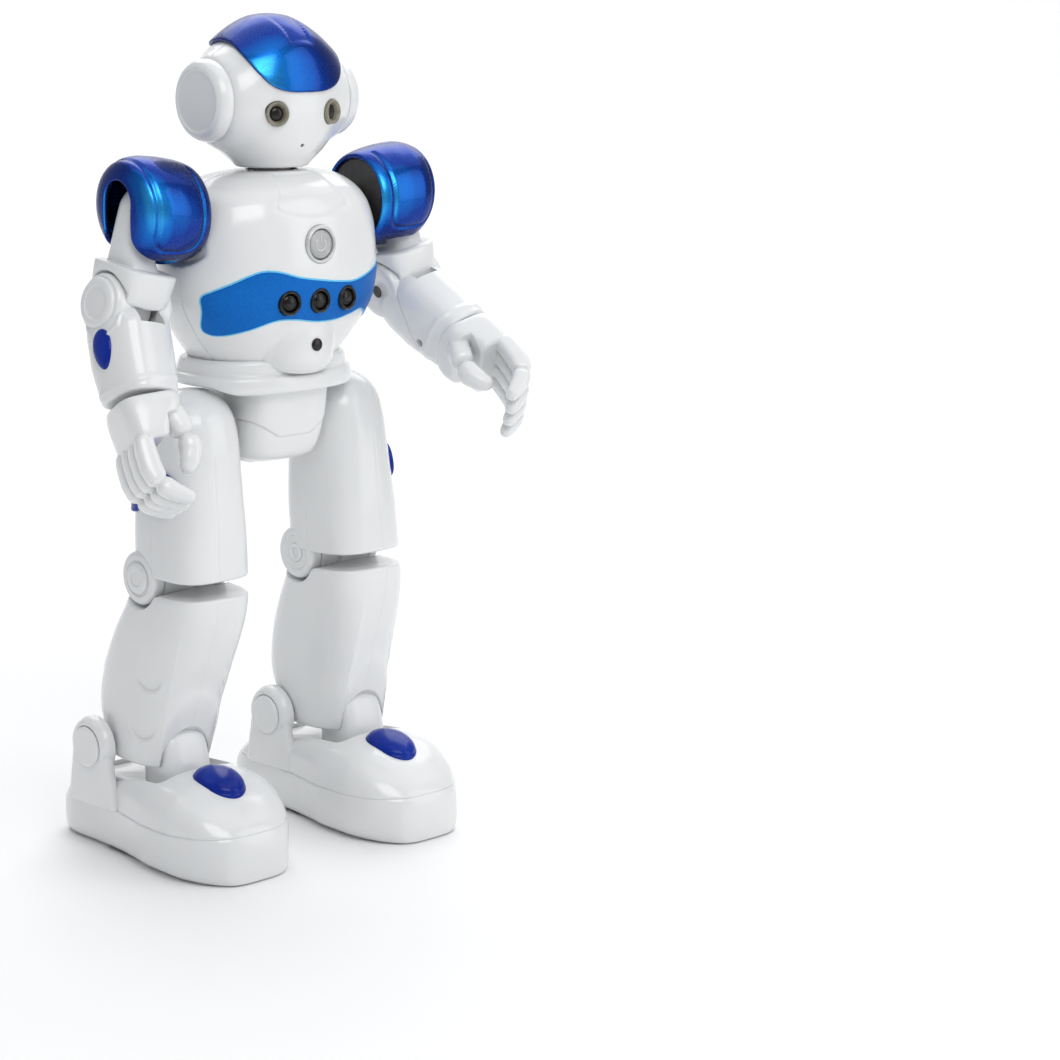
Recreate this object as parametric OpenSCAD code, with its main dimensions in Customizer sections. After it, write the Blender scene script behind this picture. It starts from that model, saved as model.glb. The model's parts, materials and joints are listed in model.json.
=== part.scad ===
// Walking humanoid toy robot, about 265 mm tall.
// Frame: +Z up, -Y forward, +X towards the robot's own left hand.
// Origin: centre of the bounding box on the surface it stands on.
// Hollow moulded shells, shafts in bored bosses, a geared drive in each foot.

/* [Shells] */
// Wall thickness of the moulded shells
wall = 2.0; // [1.6:0.1:2.4]
// Gap left round panels set into a shell
panel_gap = 0.25; // [0.15:0.05:0.4]
// Thickness of the glued decorative covers on the head and chest
trim_t = 0.7; // [0.5:0.1:1.0]
// Number of sides used on each lofted shell ring
loft_n = 24; // [20:4:32]

/* [Joints] */
// Radius of the shoulder shafts
shoulder_r = 3.0; // [2.6:0.1:3.2]
// Radius of the elbow pins
elbow_r = 1.5; // [1.2:0.1:1.8]
// Radius of the hip rod
hip_r = 2.5; // [2.2:0.1:2.8]
// Radius of the knee pins
knee_r = 2.0; // [1.6:0.1:2.4]
// Radius of the ankle pins
ankle_r = 2.5; // [2.0:0.1:2.8]
// Radius of the neck post
neck_r = 6.0; // [5.5:0.1:6.4]
// Radial running clearance of every pivot
run_c = 0.05; // [0.02:0.01:0.09]

/* [Stance] */
// Right arm: swing forward at the shoulder, degrees
r_pitch = -8; // [-9:1:-6]
// Right arm: lean outward, degrees
r_roll = 12.5; // [12:0.5:14]
// Right elbow bend, degrees
r_elbow = 34; // [32:1:38]
// Right wrist turn, degrees
r_wrist = 22; // [18:1:26]
// Left arm: swing forward at the shoulder, degrees
l_pitch = 1; // [-1:1:3]
// Left arm: lean outward, degrees
l_roll = 12.5; // [12:0.5:14]
// Left elbow bend, degrees
l_elbow = 54; // [50:1:58]
// Left wrist turn, degrees
l_wrist = -12; // [-16:1:-8]
// Left foot ahead of the right foot by this distance
stride = 6; // [4:0.5:8]

/* [Foot drive] */
// Gear module of the foot drive
gear_m = 0.5; // [0.5:0.05:0.5]
// Teeth on the axle gear
axle_teeth = 24; // [24:1:24]
// Teeth on the motor pinion
pinion_teeth = 10; // [10:1:10]
// Radius of the rubber drive wheels
wheel_r = 8.5; // [8.3:0.1:8.5]

/* [Charging] */
// Bore radius of the charging socket
socket_r = 1.75; // [1.5:0.05:2.0]
// Depth of the charging socket
socket_l = 9; // [8:0.5:9]

/* [Hidden] */
$fn = 48;
ox = 0.82;  oy = 5.89;   // moves the model so that its box is centred on Z

WHITE = [0.93, 0.93, 0.92];  BLUE = [0.02, 0.14, 0.72];
NAVY = [0.03, 0.10, 0.45];   STICKER = [0.05, 0.32, 0.72];
DARK = [0.06, 0.06, 0.07];   STEEL = [0.72, 0.73, 0.75];
SILVER = [0.74, 0.76, 0.78];

// Section tables. Each row: height, centre x, centre y, half width,
// half depth, corner exponent (2 = ellipse, higher = squarer)
TORSO = [[159.7,0,-1,24.5,19.5,2.3],[164,0,-1.5,28,21.5,2.3],[171,0,-2.5,32.5,24.5,2.3],
  [179,0,-3.5,36,26,2.3],[189,0,-4,37,26.5,2.3],[199,0,-4,36.5,26,2.3],[207,0,-4.5,34,24,2.3],
  [213,0,-5,29,20,2.2],[216.5,0,-5.5,22,14.5,2.1],[217.8,0,-6,14,10,2]];
HEAD = [[218.6,0,-7,11,10.5,2],[221,0,-7,13.5,12.5,2],[224.5,0,-6.5,17.5,15.3,2.1],[229.5,0,-6,21.7,17.6,2.2],
  [236,0,-6,25,19,2.3],[244,0,-6,25,19.2,2.3],[251,0,-6,22,18,2.3],[256.5,0,-6,16.4,15.4,2.2],
  [260.5,0,-6,10,10.8,2],[262.4,0,-6,4.2,5,2]];
BELT = [[151.6,0,0,28.5,21.5,2.5],[153,0,0,29.5,22.5,2.5],[158.5,0,-0.5,28,21.5,2.4],[159.6,0,-0.5,27,20.5,2.4]];
PELVIS = [[125.5,0,1,10,9.5,3],[128,0,0.5,14,13,3.2],[138,0,0,15.5,14.6,3.4],[151.5,0,0,15.5,15.4,3.2]];
THIGH = [[92.6,30.5,-2.6,14.4,16.4,3.2],[94.5,30.5,-2.6,15,17,3.2],[105,30.4,-1.8,14.8,16.8,3],
  [120,30.2,-1.2,14.1,16.3,2.8],[130,30.1,-1,13.8,15.8,2.6],[136,30,-1,13.5,15.2,2.5],
  [142,30,-1,12.7,14,2.4],[147,30,-1,10.8,10.8,2.2],[150,30,-1,7.5,6.2,2],[151,30,-1,4,3,2]];
SHIN = [[31,34.4,10,12.8,14.6,2.7],[34,34.2,10.4,13.8,16.8,2.7],[47,33.4,11.2,14.3,21.2,2.8],[60,32.6,8.2,15,22,2.8],
  [72,31.8,3.6,15.4,20.8,3],[82,31,-0.4,15.3,18.6,3.2],[86.4,30.7,-1.6,15.1,17.6,3.2],[87.4,30.6,-1.9,14.6,17.1,3.2]];
// Foot stations: y from the ankle line's origin, half width, top height
FOOT = [[-40,6,11],[-38.3,11.5,16],[-34,16,20.5],[-28,19.5,25],[-19,21.7,29],[-8,21.5,30.3],[3,19.5,30.3],
  [14,17.6,29],[26,16.6,27],[38,16,22.5],[46,13.5,17.5],[50.5,8.5,12.5]];
UPPER = [[-27.5,0,0,9.6,10.2,2.7],[-25,0,0,10.2,10.8,2.8],[-18.4,0,0,10.6,11.1,2.8],[-17.6,0,0,10,10.5,2.8]];
FORE = [[-30,0,0,9.6,10.7,2.7],[-25,0,0.3,10.4,11.2,2.6],[-16,0,0.8,11.2,12,2.6],[-9,0,0.8,11.2,12,2.6],[-4,0,1.5,10.8,9.6,2.4]];
PALM = [[-15.5,3.8,0,4.0,11.4,2.9],[-12,3.0,0,5.6,12.0,2.9],[-8,1.2,0,8.2,12.2,2.9],[-3,0,0,9.6,11.4,2.8],[-0.4,0,0,9.4,10.6,2.7]];

sx = 47;  sy = -6.5;  sz = 207.5;    // shoulder centre
ul = 30;  fl = 30;                    // upper arm and forearm lengths
hip_y = -1;  hip_z = 136;
knee_y = 6;  knee_z = 91.4;
ank_y = 23;  ank_z = 34;
neck_y = -7;
split_y = -6.5;                       // parting plane of the chest
wheel_y = 13;  wheel_z = wheel_r;     // drive axle in the foot
pin_d = gear_m*(axle_teeth + pinion_teeth)/2 + 0.12;
foot_x = 33.4;

// ---------- lofts ----------
function sp(v, e) = sign(v)*pow(abs(v), e);
function ringz(r, e) = [for (i = [0:loft_n-1]) let (t = 360*i/loft_n)
  [r[1] + max(0.4, r[3]+e)*sp(cos(t), 2/r[5]), r[2] + max(0.4, r[4]+e)*sp(sin(t), 2/r[5]), r[0]]];
function swap_ring(q) = [for (i = [len(q)-1:-1:0]) q[i]];
module skin(R) {
  m = len(R[0]);  k = len(R);
  polyhedron([for (r = R) for (p = r) p],
    concat([[for (j = [0:m-1]) j]],
      [for (i = [0:k-2]) for (j = [0:m-1]) [i*m+j, (i+1)*m+(j+1)%m, i*m+(j+1)%m]],
      [for (i = [0:k-2]) for (j = [0:m-1]) [i*m+j, (i+1)*m+j, (i+1)*m+(j+1)%m]],
      [[for (j = [m-1:-1:0]) (k-1)*m+j]]));
}
module loft(T, e = 0) { skin([for (r = T) ringz(r, e)]); }
// inner volume of a table between two heights
function lerp_row(a, b, z) = let (t = (z-a[0])/(b[0]-a[0])) [z, for (i = [1:5]) a[i]+(b[i]-a[i])*t];
function row_at(T, z, i = 0) = (i >= len(T)-2 || z <= T[i+1][0]) ? lerp_row(T[i], T[i+1], z) : row_at(T, z, i+1);
function cut_table(T, z0, z1) = concat([row_at(T, z0)], [for (r = T) if (r[0] > z0+0.5 && r[0] < z1-0.5) r], [row_at(T, z1)]);
module hollow(T, z0, z1, w = wall) { difference() { loft(T); loft(cut_table(T, z0, z1), -w); } }
// foot loft, stations along y
function ringy(s, e) = [for (i = [0:loft_n-1]) let (t = 360*i/loft_n, zt = s[2]+e, zb = -0.6-e)
  [(s[1]+e)*sp(cos(t), 2/(sin(t) < 0 ? 5 : 3)), s[0] - e*s[0]/60, (zt+zb)/2 + (zt-zb)/2*sp(sin(t), 2/(sin(t) < 0 ? 5 : 3))]];
module foot_loft(e = 0) { skin([for (s = FOOT) swap_ring(ringy(s, e))]); }
// swept round finger: path of [x, y, z, radius]
function unit(v) = v/norm(v);
module finger(P, m = 10) {
  k = len(P);
  R = [for (i = [0:k-1]) let (a = P[max(i-1,0)], b = P[min(i+1,k-1)],
      t = unit([b[0]-a[0], 0, b[2]-a[2]]), n = [t[2], 0, -t[0]])
    [for (j = [0:m-1]) let (c = 360*j/m) [P[i][0] + P[i][3]*cos(c)*n[0], P[i][1] + P[i][3]*sin(c), P[i][2] + P[i][3]*cos(c)*n[2]]]];
  skin(R);
}

// ---------- placing ----------
module base() { translate([ox, oy, 0]) children(); }
module side(s) { if (s < 0) mirror([1,0,0]) children(); else children(); }
module xcyl(r, x0, x1, y = 0, z = 0, f = 48) { translate([x0, y, z]) rotate([0,90,0]) cylinder(r = r, h = x1-x0, $fn = f); }
module ycyl(r, y0, y1, x = 0, z = 0, f = 48) { translate([x, y1, z]) rotate([90,0,0]) cylinder(r = r, h = y1-y0, $fn = f); }
module in_pitch(s) { base() side(s) translate([sx, sy, sz]) rotate([-(s < 0 ? r_pitch : l_pitch), 0, 0]) children(); }
module in_upper(s) { in_pitch(s) rotate([0, -(s < 0 ? r_roll : l_roll), 0]) children(); }
module in_fore(s) { in_upper(s) translate([0,0,-ul]) rotate([-(s < 0 ? r_elbow : l_elbow), 0, 0]) children(); }
module in_hand(s) { in_fore(s) translate([0,0,-fl]) rotate([0, 9, 0]) rotate([0, 0, s < 0 ? r_wrist : l_wrist]) children(); }
leg_len = norm([ank_y-hip_y, ank_z-hip_z]);
function lean(s) = asin(stride/2/leg_len)*s;          // left leg forward, right leg back
module in_leg(s) { base() side(s) translate([0, hip_y, hip_z]) rotate([-lean(s), 0, 0]) translate([0, -hip_y, -hip_z]) children(); }
function rotx(v, a) = [v[0], v[1]*cos(a)-v[2]*sin(a), v[1]*sin(a)+v[2]*cos(a)];
function ankle_at(s) = [0, hip_y, hip_z] + rotx([0, ank_y-hip_y, ank_z-hip_z], -lean(s));
module in_foot(s) { base() side(s) translate([0, ankle_at(s)[1]-ank_y, 0]) children(); }

// ---------- torso ----------
module chest_bulge(r) { translate([0,-13.5,166]) sphere(r = r, $fn = 48); }
module front_half() { translate([-60, -80+split_y, 0]) cube([120, 80, 300]); }
module back_half() { translate([-60, split_y, 0]) cube([120, 80, 300]); }
module chest_solid() {
  difference() {
    union() {
      difference() { loft(TORSO); for (s = [-1,1]) xcyl(17.2, s < 0 ? -60 : 33.4, s < 0 ? -33.4 : 60, sy, sz, 64); }
      difference() { chest_bulge(11.5); translate([-20,-9,140]) cube([40,20,40]); }
    }
    difference() {
      loft(cut_table(TORSO, 162, 215.4), -wall);
      for (s = [-1,1]) side(s) translate([31.4, -30, 185]) cube([10, 50, 30]);
      for (s = [-1,1]) side(s) xcyl(6.2, 22.6, 40, sy, sz);
    }
    for (s = [-1,1]) side(s) xcyl(shoulder_r + run_c, 15, 40, sy, sz);
    translate([0, neck_y, 205]) cylinder(r = neck_r, h = 20);
  }
}
module screw_posts(r, y0, y1) { for (s = [-1,1]) { ycyl(r, y0, y1, s*26.5, 172, 32); ycyl(r, y0, y1, s*25.5, 199, 32); } }
module chest_front_shell() { color(WHITE) base()
  difference() {
    intersection() { chest_solid(); front_half(); }
    ycyl(4.7, -40, -20, 0, 195.9);
    translate([0,-33,195.9]) rotate([-90,0,0]) cylinder(r = 5.95, h = 5.2);
    for (x = [-11.4, 0, 11.4]) { ycyl(3.25, -40, -18, x, 178.5); ycyl(3.95, -40, x == 0 ? -29.35 : -28.95, x, 178.5); }
    ycyl(2.3, -40, -12, 0, 164.2);
  }
}
module door_box(g) { translate([-24-g, 5, 173-g]) cube([48+2*g, 40, 28+2*g]); }
module chest_back_shell() { color(WHITE) base()
  difference() {
    union() {
      difference() { intersection() { chest_solid(); back_half(); } door_box(panel_gap); }
      intersection() { screw_posts(3.6, split_y, 11); loft(TORSO, -1); }
    }
    screw_posts(1.3, -20, 12);
    screw_posts(2.6, 8, 40);
    ycyl(4.05, 5, 40, 0, 167);
  }
}
module battery_door() { color(WHITE) base() intersection() { difference() { loft(TORSO); loft(TORSO, -1.6); } door_box(0); } }
module band_outline() {
  polygon([[-31.5,171],[-27,168.6],[-22,170.5],[-15,173.3],[-8,173],[0,171.8],[8,171.8],[15,173],[20,174.5],[24,173],
    [28,170],[33,168.6],[37,172],[37,185],[34,186.5],[29,187],[23,185.5],[15,183.6],[8,184],[0,184.6],[-8,185.5],[-15,188],[-20,188.6],[-24,187.5],[-32,183],[-34,181]]);
}
module chest_band() { color(STICKER) base()
  difference() {
    intersection() {
      difference() { loft(TORSO, trim_t); loft(TORSO, 0.02); }
      translate([0,-9,0]) rotate([90,0,0]) linear_extrude(40) band_outline();
    }
    for (x = [-11.4, 0, 11.4]) ycyl(3.95, -40, -18, x, 178.5);
  }
}
module infrared_lenses() { color(DARK) base() {
  for (x = [-11.4, 0, 11.4]) {
    y = x == 0 ? -29.4 : -29.0;
    ycyl(3.2, y, -19, x, 178.5);
    ycyl(3.9, y-1.0, y+0.0, x, 178.5);
  }
  ycyl(2.25, -25.0, -16, 0, 164.2);
} }
module button_bezel() { color(SILVER) base() translate([0,-29.6,195.9]) rotate([-90,0,0])
  rotate_extrude() polygon([[4.75,-1.2],[5.2,-1.6],[5.6,-1.4],[5.9,-0.6],[5.9,1.7],[4.75,1.7]]); }
module power_button() { color(SILVER) base() {
  ycyl(4.6, -30.6, -25.5, 0, 195.9);
  ycyl(1.5, -25.5, -16.4, 0, 195.9);
  ycyl(5.8, -26.6, -25.5, 0, 195.9);
} }
module main_board() { color("darkgreen") base() {
  translate([-20,-14.5,170]) cube([40,1.6,32]);
  translate([-6,-12.9,180]) cube([12,1.4,12]);
  translate([-2,-15.7,194]) cube([4,1.2,4]);
  translate([-15,-12.9,173]) cube([8,5,7]);
} }
module battery_pack() { color([0.2,0.35,0.25]) base() {
  for (z = [180, 194.2]) xcyl(7, -20, 20, 6, z);
  for (s = [-1,1]) side(s) xcyl(2.2, 20, 21.2, 6, 180, 24);
} }
module charge_socket() { color(DARK) base() difference() {
  union() { ycyl(4.0, 9, 20.4, 0, 167); ycyl(2.9, 8, 9, 0, 167); }
  ycyl(socket_r, 20.4-socket_l, 22, 0, 167);
} }
module torso_screws() { color(STEEL) base() for (s = [-1,1]) {
  for (p = [[26.5,172],[25.5,199]]) difference() {
    union() { ycyl(1.2, -5, 8, s*p[0], p[1], 24); ycyl(2.4, 8, 9.8, s*p[0], p[1], 32); }
    translate([s*p[0]-0.3, 9.1, p[1]-1.8]) cube([0.6, 2, 3.6]);
    translate([s*p[0]-1.8, 9.1, p[1]-0.3]) cube([3.6, 2, 0.6]);
  }
} }
module waist_ring() { color(WHITE) base() difference() {
  loft(BELT);
  translate([0,0,150]) cylinder(r = 11, h = 12);
  chest_bulge(11.75);
} }
module pelvis_solid() { difference() {
  loft(PELVIS);
  difference() { loft(cut_table(PELVIS, 128.5, 149.5), -wall); xcyl(5.2, -16, 16, hip_y, hip_z); }
  xcyl(hip_r, -40, 40, hip_y, hip_z);
  translate([0,0,145]) cylinder(r = 9.3, h = 8);
} }
module pelvis_front_shell() { color(WHITE) base() intersection() { pelvis_solid(); translate([-30,-40+hip_y,100]) cube([60,40,60]); } }
module pelvis_back_shell() { color(WHITE) base() intersection() { pelvis_solid(); translate([-30,hip_y,100]) cube([60,40,60]); } }
module hip_rod() { color(STEEL) base() xcyl(hip_r, -41, 41, hip_y, hip_z); }
module speaker() { color(DARK) base() translate([0,0,145.2]) { cylinder(r = 9.1, h = 4.2); translate([0,0,-2.4]) cylinder(r = 5, h = 2.4); } }
module neck_post() { color(WHITE) base() translate([0,neck_y,0]) difference() {
  union() { translate([0,0,213]) cylinder(r = neck_r, h = 12.4); translate([0,0,223.8]) cylinder(r = 8, h = 1.6); translate([0,0,212]) cylinder(r = 8, h = 1.6); }
  translate([0,0,210]) cylinder(r = 3.5, h = 20);
} }

// ---------- head ----------
module head_solid() { difference() {
  union() { loft(HEAD); for (s = [-1,1]) side(s) xcyl(12.2, 14, 23.0, -6, 239.6, 64); }
  difference() { union() { loft(cut_table(HEAD, 223.6, 259.5), -wall); } }
  for (s = [-1,1]) side(s) { xcyl(9.4, 10, 26, -6, 239.6, 64); xcyl(12.7, 23.0, 30, -6, 239.6, 64); }
  translate([0,neck_y,210]) cylinder(r = neck_r + run_c, h = 20);
  translate([0,neck_y,223.4]) cylinder(r = 8.4, h = 2.6);
} }
module head_front_shell() { color(WHITE) base() difference() {
  intersection() { head_solid(); translate([-60,-86,200]) cube([120,80,80]); }
  for (s = [-1,1]) eye_axis(s) cylinder(r = 3.8, h = 12, center = true);
  translate([0,-22.4,224.6]) rotate([70,0,0]) cylinder(r = 0.7, h = 3, center = true, $fn = 24);
} }
module head_back_shell() { color(WHITE) base() intersection() { head_solid(); translate([-60,-6,200]) cube([120,80,80]); } }
module eye_axis(s) { translate([s*10.9,-24.0,235.7]) rotate([90,0,s*16]) children(); }
module eye_rings() { color([0.42,0.40,0.33]) base() for (s = [-1,1]) eye_axis(s)
  rotate_extrude() polygon([[2.4,-1.6],[2.4,-0.2],[2.9,0.6],[3.4,0.6],[3.75,0.0],[3.75,-1.6]]); }
module eye_lamps() { color(DARK) base() for (s = [-1,1]) eye_axis(s) translate([0,0,-4]) { cylinder(r = 2.35, h = 3.8); translate([0,0,-1.2]) cylinder(r = 2.9, h = 1.2); } }
module crest_cover() { color(BLUE) base() intersection() {
  difference() { union() { loft(HEAD, trim_t+0.6); translate([0,0,2.4]) loft(cut_table(HEAD, 250, 262.4), 0.9); } loft(HEAD, 0.02); }
  rotate([90,0,90]) translate([0,0,-18]) linear_extrude(36)
    polygon([[-32,242.3],[-23.3,242.6],[-21,245],[-19,248.6],[-16.5,252],[-12,254.8],[-5,256],[4,256.2],[12,254.6],[18,252],[30,252],[30,280],[-32,280]]);
} }
module ear_cap() { side(1) translate([23.05,-6,239.6]) rotate([0,90,0])
  rotate_extrude($fn = 64) polygon([[0,0],[12.3,0],[12.6,1.0],[12.3,2.8],[11.4,4.2],[10.2,5.0],[9.8,5.1],[9.4,4.7],[0,4.7]]); }
module ear_cap_right() { color(WHITE) base() side(-1) ear_cap(); }
module ear_cap_left() { color(WHITE) base() ear_cap(); }

// ---------- arms ----------
module cowl() { difference() {
  union() {
    difference() {
      rotate([0,90,0]) rotate_extrude($fn = 64) polygon([[0,-13.2],[13.6,-13.2],[14.4,-12.4],[15.4,-9],[16.2,-3],[16.4,3],[15.6,7.6],[13.4,10.4],[9.4,11.9],[0,12.4]]);
      rotate([0,90,0]) rotate_extrude($fn = 64) polygon([[0,-10.6],[12.6,-10.6],[13.6,-9],[14.4,-3],[14.6,3],[13.8,7],[11.8,9],[8.6,10.1],[0,10.5]]);
    }
    intersection() {
      for (s = [-1,1]) translate([-10.8, s < 0 ? -8.9 : 6.9, -10]) cube([19, 2.0, 16]);
      rotate([0,90,0]) translate([0,0,-12]) cylinder(r = 14, h = 24);
    }
  }
  translate([-6, -6.7, -20]) cube([24, 13.4, 22]);
  intersection() { xcyl(6.7, 3, 18, 0, 2); translate([3,-10,-20]) cube([20,20,40]); }
  ycyl(2.0 + run_c, -12, 12, 0, 0);
}
  xcyl(shoulder_r, -26.4, -12.6);
  xcyl(4.6, -26.4, -24.8);
}
module tongue() {
  difference() {
    union() { ycyl(5, -6.4, 6.4); translate([-4.4,-6.0,-18.5]) cube([8.8,12,18.5]); ycyl(2.0, -8.7, 8.7); }
  }
}
module upper_arm() { difference() {
  union() { tongue();
    difference() { loft(UPPER); xcyl(9.75, -20, 20, 0, -ul, 64); translate([-20,-20,-ul-4]) cube([40,20,9.2]); }
    difference() { union() { xcyl(7.2, -4.2, 4.2, 0, -ul); translate([-4.2,-4,-ul]) cube([8.4,8,10]); } xcyl(elbow_r, -10, 10, 0, -ul, 32); }
  }
} }
module forearm() { difference() {
  union() { loft(FORE); xcyl(9.3, -10.4, 10.4, 0, 0, 64); xcyl(7.8, 10.3, 11.9); }
  xcyl(7.5, -4.5, 4.5);
  translate([-4.5,-15,-1.2]) cube([9,15,20]);
  translate([-4.5,-4.5,0]) cube([9,9,20]);
  xcyl(elbow_r + run_c, -9.8, 10.2, 0, 0, 32);
  translate([0,0,-25]) cylinder(r1 = 6.5, r2 = 7.5, h = 14);
  translate([0,0,-fl]) rotate([0,9,0]) translate([-20,-20,-10]) cube([40,40,10.2]);
  translate([0,0,-fl]) rotate([0,9,0]) cylinder(r = 3 + run_c, h = 8);
  translate([10.4,0.8,-14]) rotate([0,90,0]) scale(1) translate([0,0,-1]) cylinder(r = 4.3, h = 3);
} }
module forearm_btn() { translate([9.45,0.8,-14]) rotate([0,90,0]) { cylinder(r = 4.2, h = 1.4); translate([0,0,1.4]) cylinder(r1 = 4.2, r2 = 3.4, h = 0.7); } }
module hand_solid() {
  difference() { loft(PALM); translate([-12,-20,-22]) cube([9,40,14.5]); }
  cylinder(r = 3, h = 6.5);
  translate([0,0,-1]) cylinder(r = 3, h = 1);
  for (i = [0:3]) finger([[4.8,-9.3+6.2*i,-12,3.2],[6.2,-9.3+6.2*i,-18,3.35],[5.2,-9.3+6.2*i,-24.5,3.3],[1.6,-9.3+6.2*i,-30.2+0.6*abs(i-1),3.1],[-3.4,-9.3+6.2*i,-34.2+0.8*abs(i-1),2.5],[-5,-9.3+6.2*i,-34.9+0.8*abs(i-1),1.3]]);
  finger([[-4.6,-5.2,-6,4.2],[-7.4,-5.6,-11,4.0],[-8.8,-6,-16,3.8],[-7.6,-6,-21.5,3.4],[-5.2,-6,-25,2.6],[-4.4,-6,-26,1.4]]);
}
module shoulder_cowl_right() { color(BLUE) in_pitch(-1) cowl(); }
module shoulder_cowl_left() { color(BLUE) in_pitch(1) cowl(); }
module upper_arm_right() { color(WHITE) in_upper(-1) upper_arm(); }
module upper_arm_left() { color(WHITE) in_upper(1) upper_arm(); }
module elbow_pin_right() { color(STEEL) in_fore(-1) xcyl(elbow_r, -9.6, 9.9, 0, 0, 32); }
module elbow_pin_left() { color(STEEL) in_fore(1) xcyl(elbow_r, -9.6, 9.9, 0, 0, 32); }
module forearm_shell_right() { color(WHITE) in_fore(-1) forearm(); }
module forearm_shell_left() { color(WHITE) in_fore(1) forearm(); }
module forearm_button_right() { color(NAVY) in_fore(-1) forearm_btn(); }
module forearm_button_left() { color(NAVY) in_fore(1) forearm_btn(); }
module hand_right() { color(WHITE) in_hand(-1) hand_solid(); }
module hand_left() { color(WHITE) in_hand(1) hand_solid(); }

// ---------- legs ----------
module thigh() { difference() {
  union() { loft(THIGH);
    for (x = [16.0, 41.2]) xcyl(8.6, x, x+4.2, knee_y, knee_z, 64); }
  difference() { loft(cut_table(THIGH, 103, 148), -wall); xcyl(5.5, 15, 46, hip_y, hip_z); }
  xcyl(9.4, 20.3, 41.1, knee_y, knee_z, 64);
  translate([20.3,-30,85]) cube([20.8, 60, 7.6]);
  xcyl(hip_r + run_c, 10, 41.6, hip_y, hip_z);
  xcyl(knee_r, 10, 50, knee_y, knee_z);
} }
module knee_pin() { xcyl(knee_r, 15.6, 45.4, knee_y, knee_z); xcyl(5, 45.4, 46.3, knee_y, knee_z); }
module shin() { difference() {
  union() { loft(SHIN); xcyl(8.7, 20.7, 40.7, knee_y, knee_z, 64); }
  loft(cut_table(SHIN, 34, 79), -wall);
  for (x = [10, 40.8]) xcyl(9.2, x, x+10.6, knee_y, knee_z, 64);
  xcyl(knee_r + run_c, 10, 50, knee_y, knee_z);
  xcyl(ankle_r, 10, 60, ank_y, ank_z);
}
  difference() { xcyl(5, 21, 46, ank_y, ank_z); xcyl(ankle_r, 10, 60, ank_y, ank_z); translate([10,-20,20]) cube([60,80,11.2]); }
}
module thigh_shell_right() { color(WHITE) in_leg(-1) thigh(); }
module thigh_shell_left() { color(WHITE) in_leg(1) thigh(); }
module knee_pin_right() { color(WHITE) in_leg(-1) knee_pin(); }
module knee_pin_left() { color(WHITE) in_leg(1) knee_pin(); }
module shin_shell_right() { color(WHITE) in_leg(-1) shin(); }
module shin_shell_left() { color(WHITE) in_leg(1) shin(); }
module ankle_pin(s) { az = ankle_at(s)[2]; xcyl(ankle_r, 14.6, 54.0, ank_y, az); for (x = [13.2, 54.0]) xcyl(6.6, x, x+1.4, ank_y, az); }
module thigh_trim() { difference() {
  intersection() {
    loft(THIGH, 2.0);
    translate([36, 0, 0]) rotate([90,0,90]) linear_extrude(20)
      polygon([[17,118],[14.5,123],[9,126.5],[1,128],[-7,127],[-11.5,124],[-13,119.5],[-11,115.5],[-6.5,113.2],[-2,113.8],[2.8,115.4],[5.4,114],[8,112.4],[12.5,112],[16,114]]);
  }
  loft(THIGH, 0.02);
} }
module ankle_pin_right() { color(WHITE) in_foot(-1) ankle_pin(-1); }
module ankle_pin_left() { color(WHITE) in_foot(1) ankle_pin(1); }
module thigh_trim_right() { color(NAVY) in_leg(-1) thigh_trim(); }
module thigh_trim_left() { color(NAVY) in_leg(1) thigh_trim(); }

// ---------- feet ----------
sole_top = 15.4;
module foot_ear(x, az) { difference() {
  union() { xcyl(9.6, x, x+4.6, ank_y, az, 64); translate([x, ank_y-9.6, 17]) cube([4.6, 19.2, az-17]); }
  xcyl(ankle_r + run_c, x-5, x+10, ank_y, az);
} }
module foot_cover(s) { difference() {
  union() {
    intersection() { translate([foot_x,0,0]) difference() { foot_loft(); foot_loft(-wall); } translate([0,-60,sole_top+0.15]) cube([80,130,40]); }
    for (x = [14.9, 49.1]) foot_ear(x, ankle_at(s)[2]);
  }
  translate([19.6, -9, 17.5]) cube([29.4, 46, 30]);
  translate([foot_x,-19.5,24]) rotate([-9,0,0]) cylinder(r = 6.3, h = 12);
} }
module foot_button() { translate([foot_x,-19.5,24]) rotate([-9,0,0]) { translate([0,0,1.0]) cylinder(r = 6.2, h = 4.6); translate([0,0,5.6]) cylinder(r1 = 6.2, r2 = 4.8, h = 0.9); } }
module sole_tub() { difference() {
  union() {
    intersection() { translate([foot_x,0,0]) foot_loft(); translate([0,-60,0.6]) cube([80,130,sole_top-0.6]); }
    for (s = [-1,1]) translate([foot_x+s*8.5,-26,2.4]) sphere(r = 2.4, $fn = 32);
  }
  difference() { intersection() { translate([foot_x,0,0]) foot_loft(-wall); translate([0,-60,2.2]) cube([80,130,20]); }
    for (s = [-1,1]) translate([foot_x+s*8.5-(s < 0 ? 1.4 : 1.6), wheel_y-4, 2]) cube([3, 8, wheel_z+4-2]);
  }
  for (s = [-1,1]) translate([foot_x+s*12.6-2.2, wheel_y-wheel_r-0.5, -1]) cube([4.4, 2*wheel_r+1, 25]);
  translate([foot_x-6.2, wheel_y-7.2, 1.6]) cube([3.6, 14.4, 10]);
  xcyl(1.25 + run_c, foot_x-20, foot_x+20, wheel_y, wheel_z, 32);
} }
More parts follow.
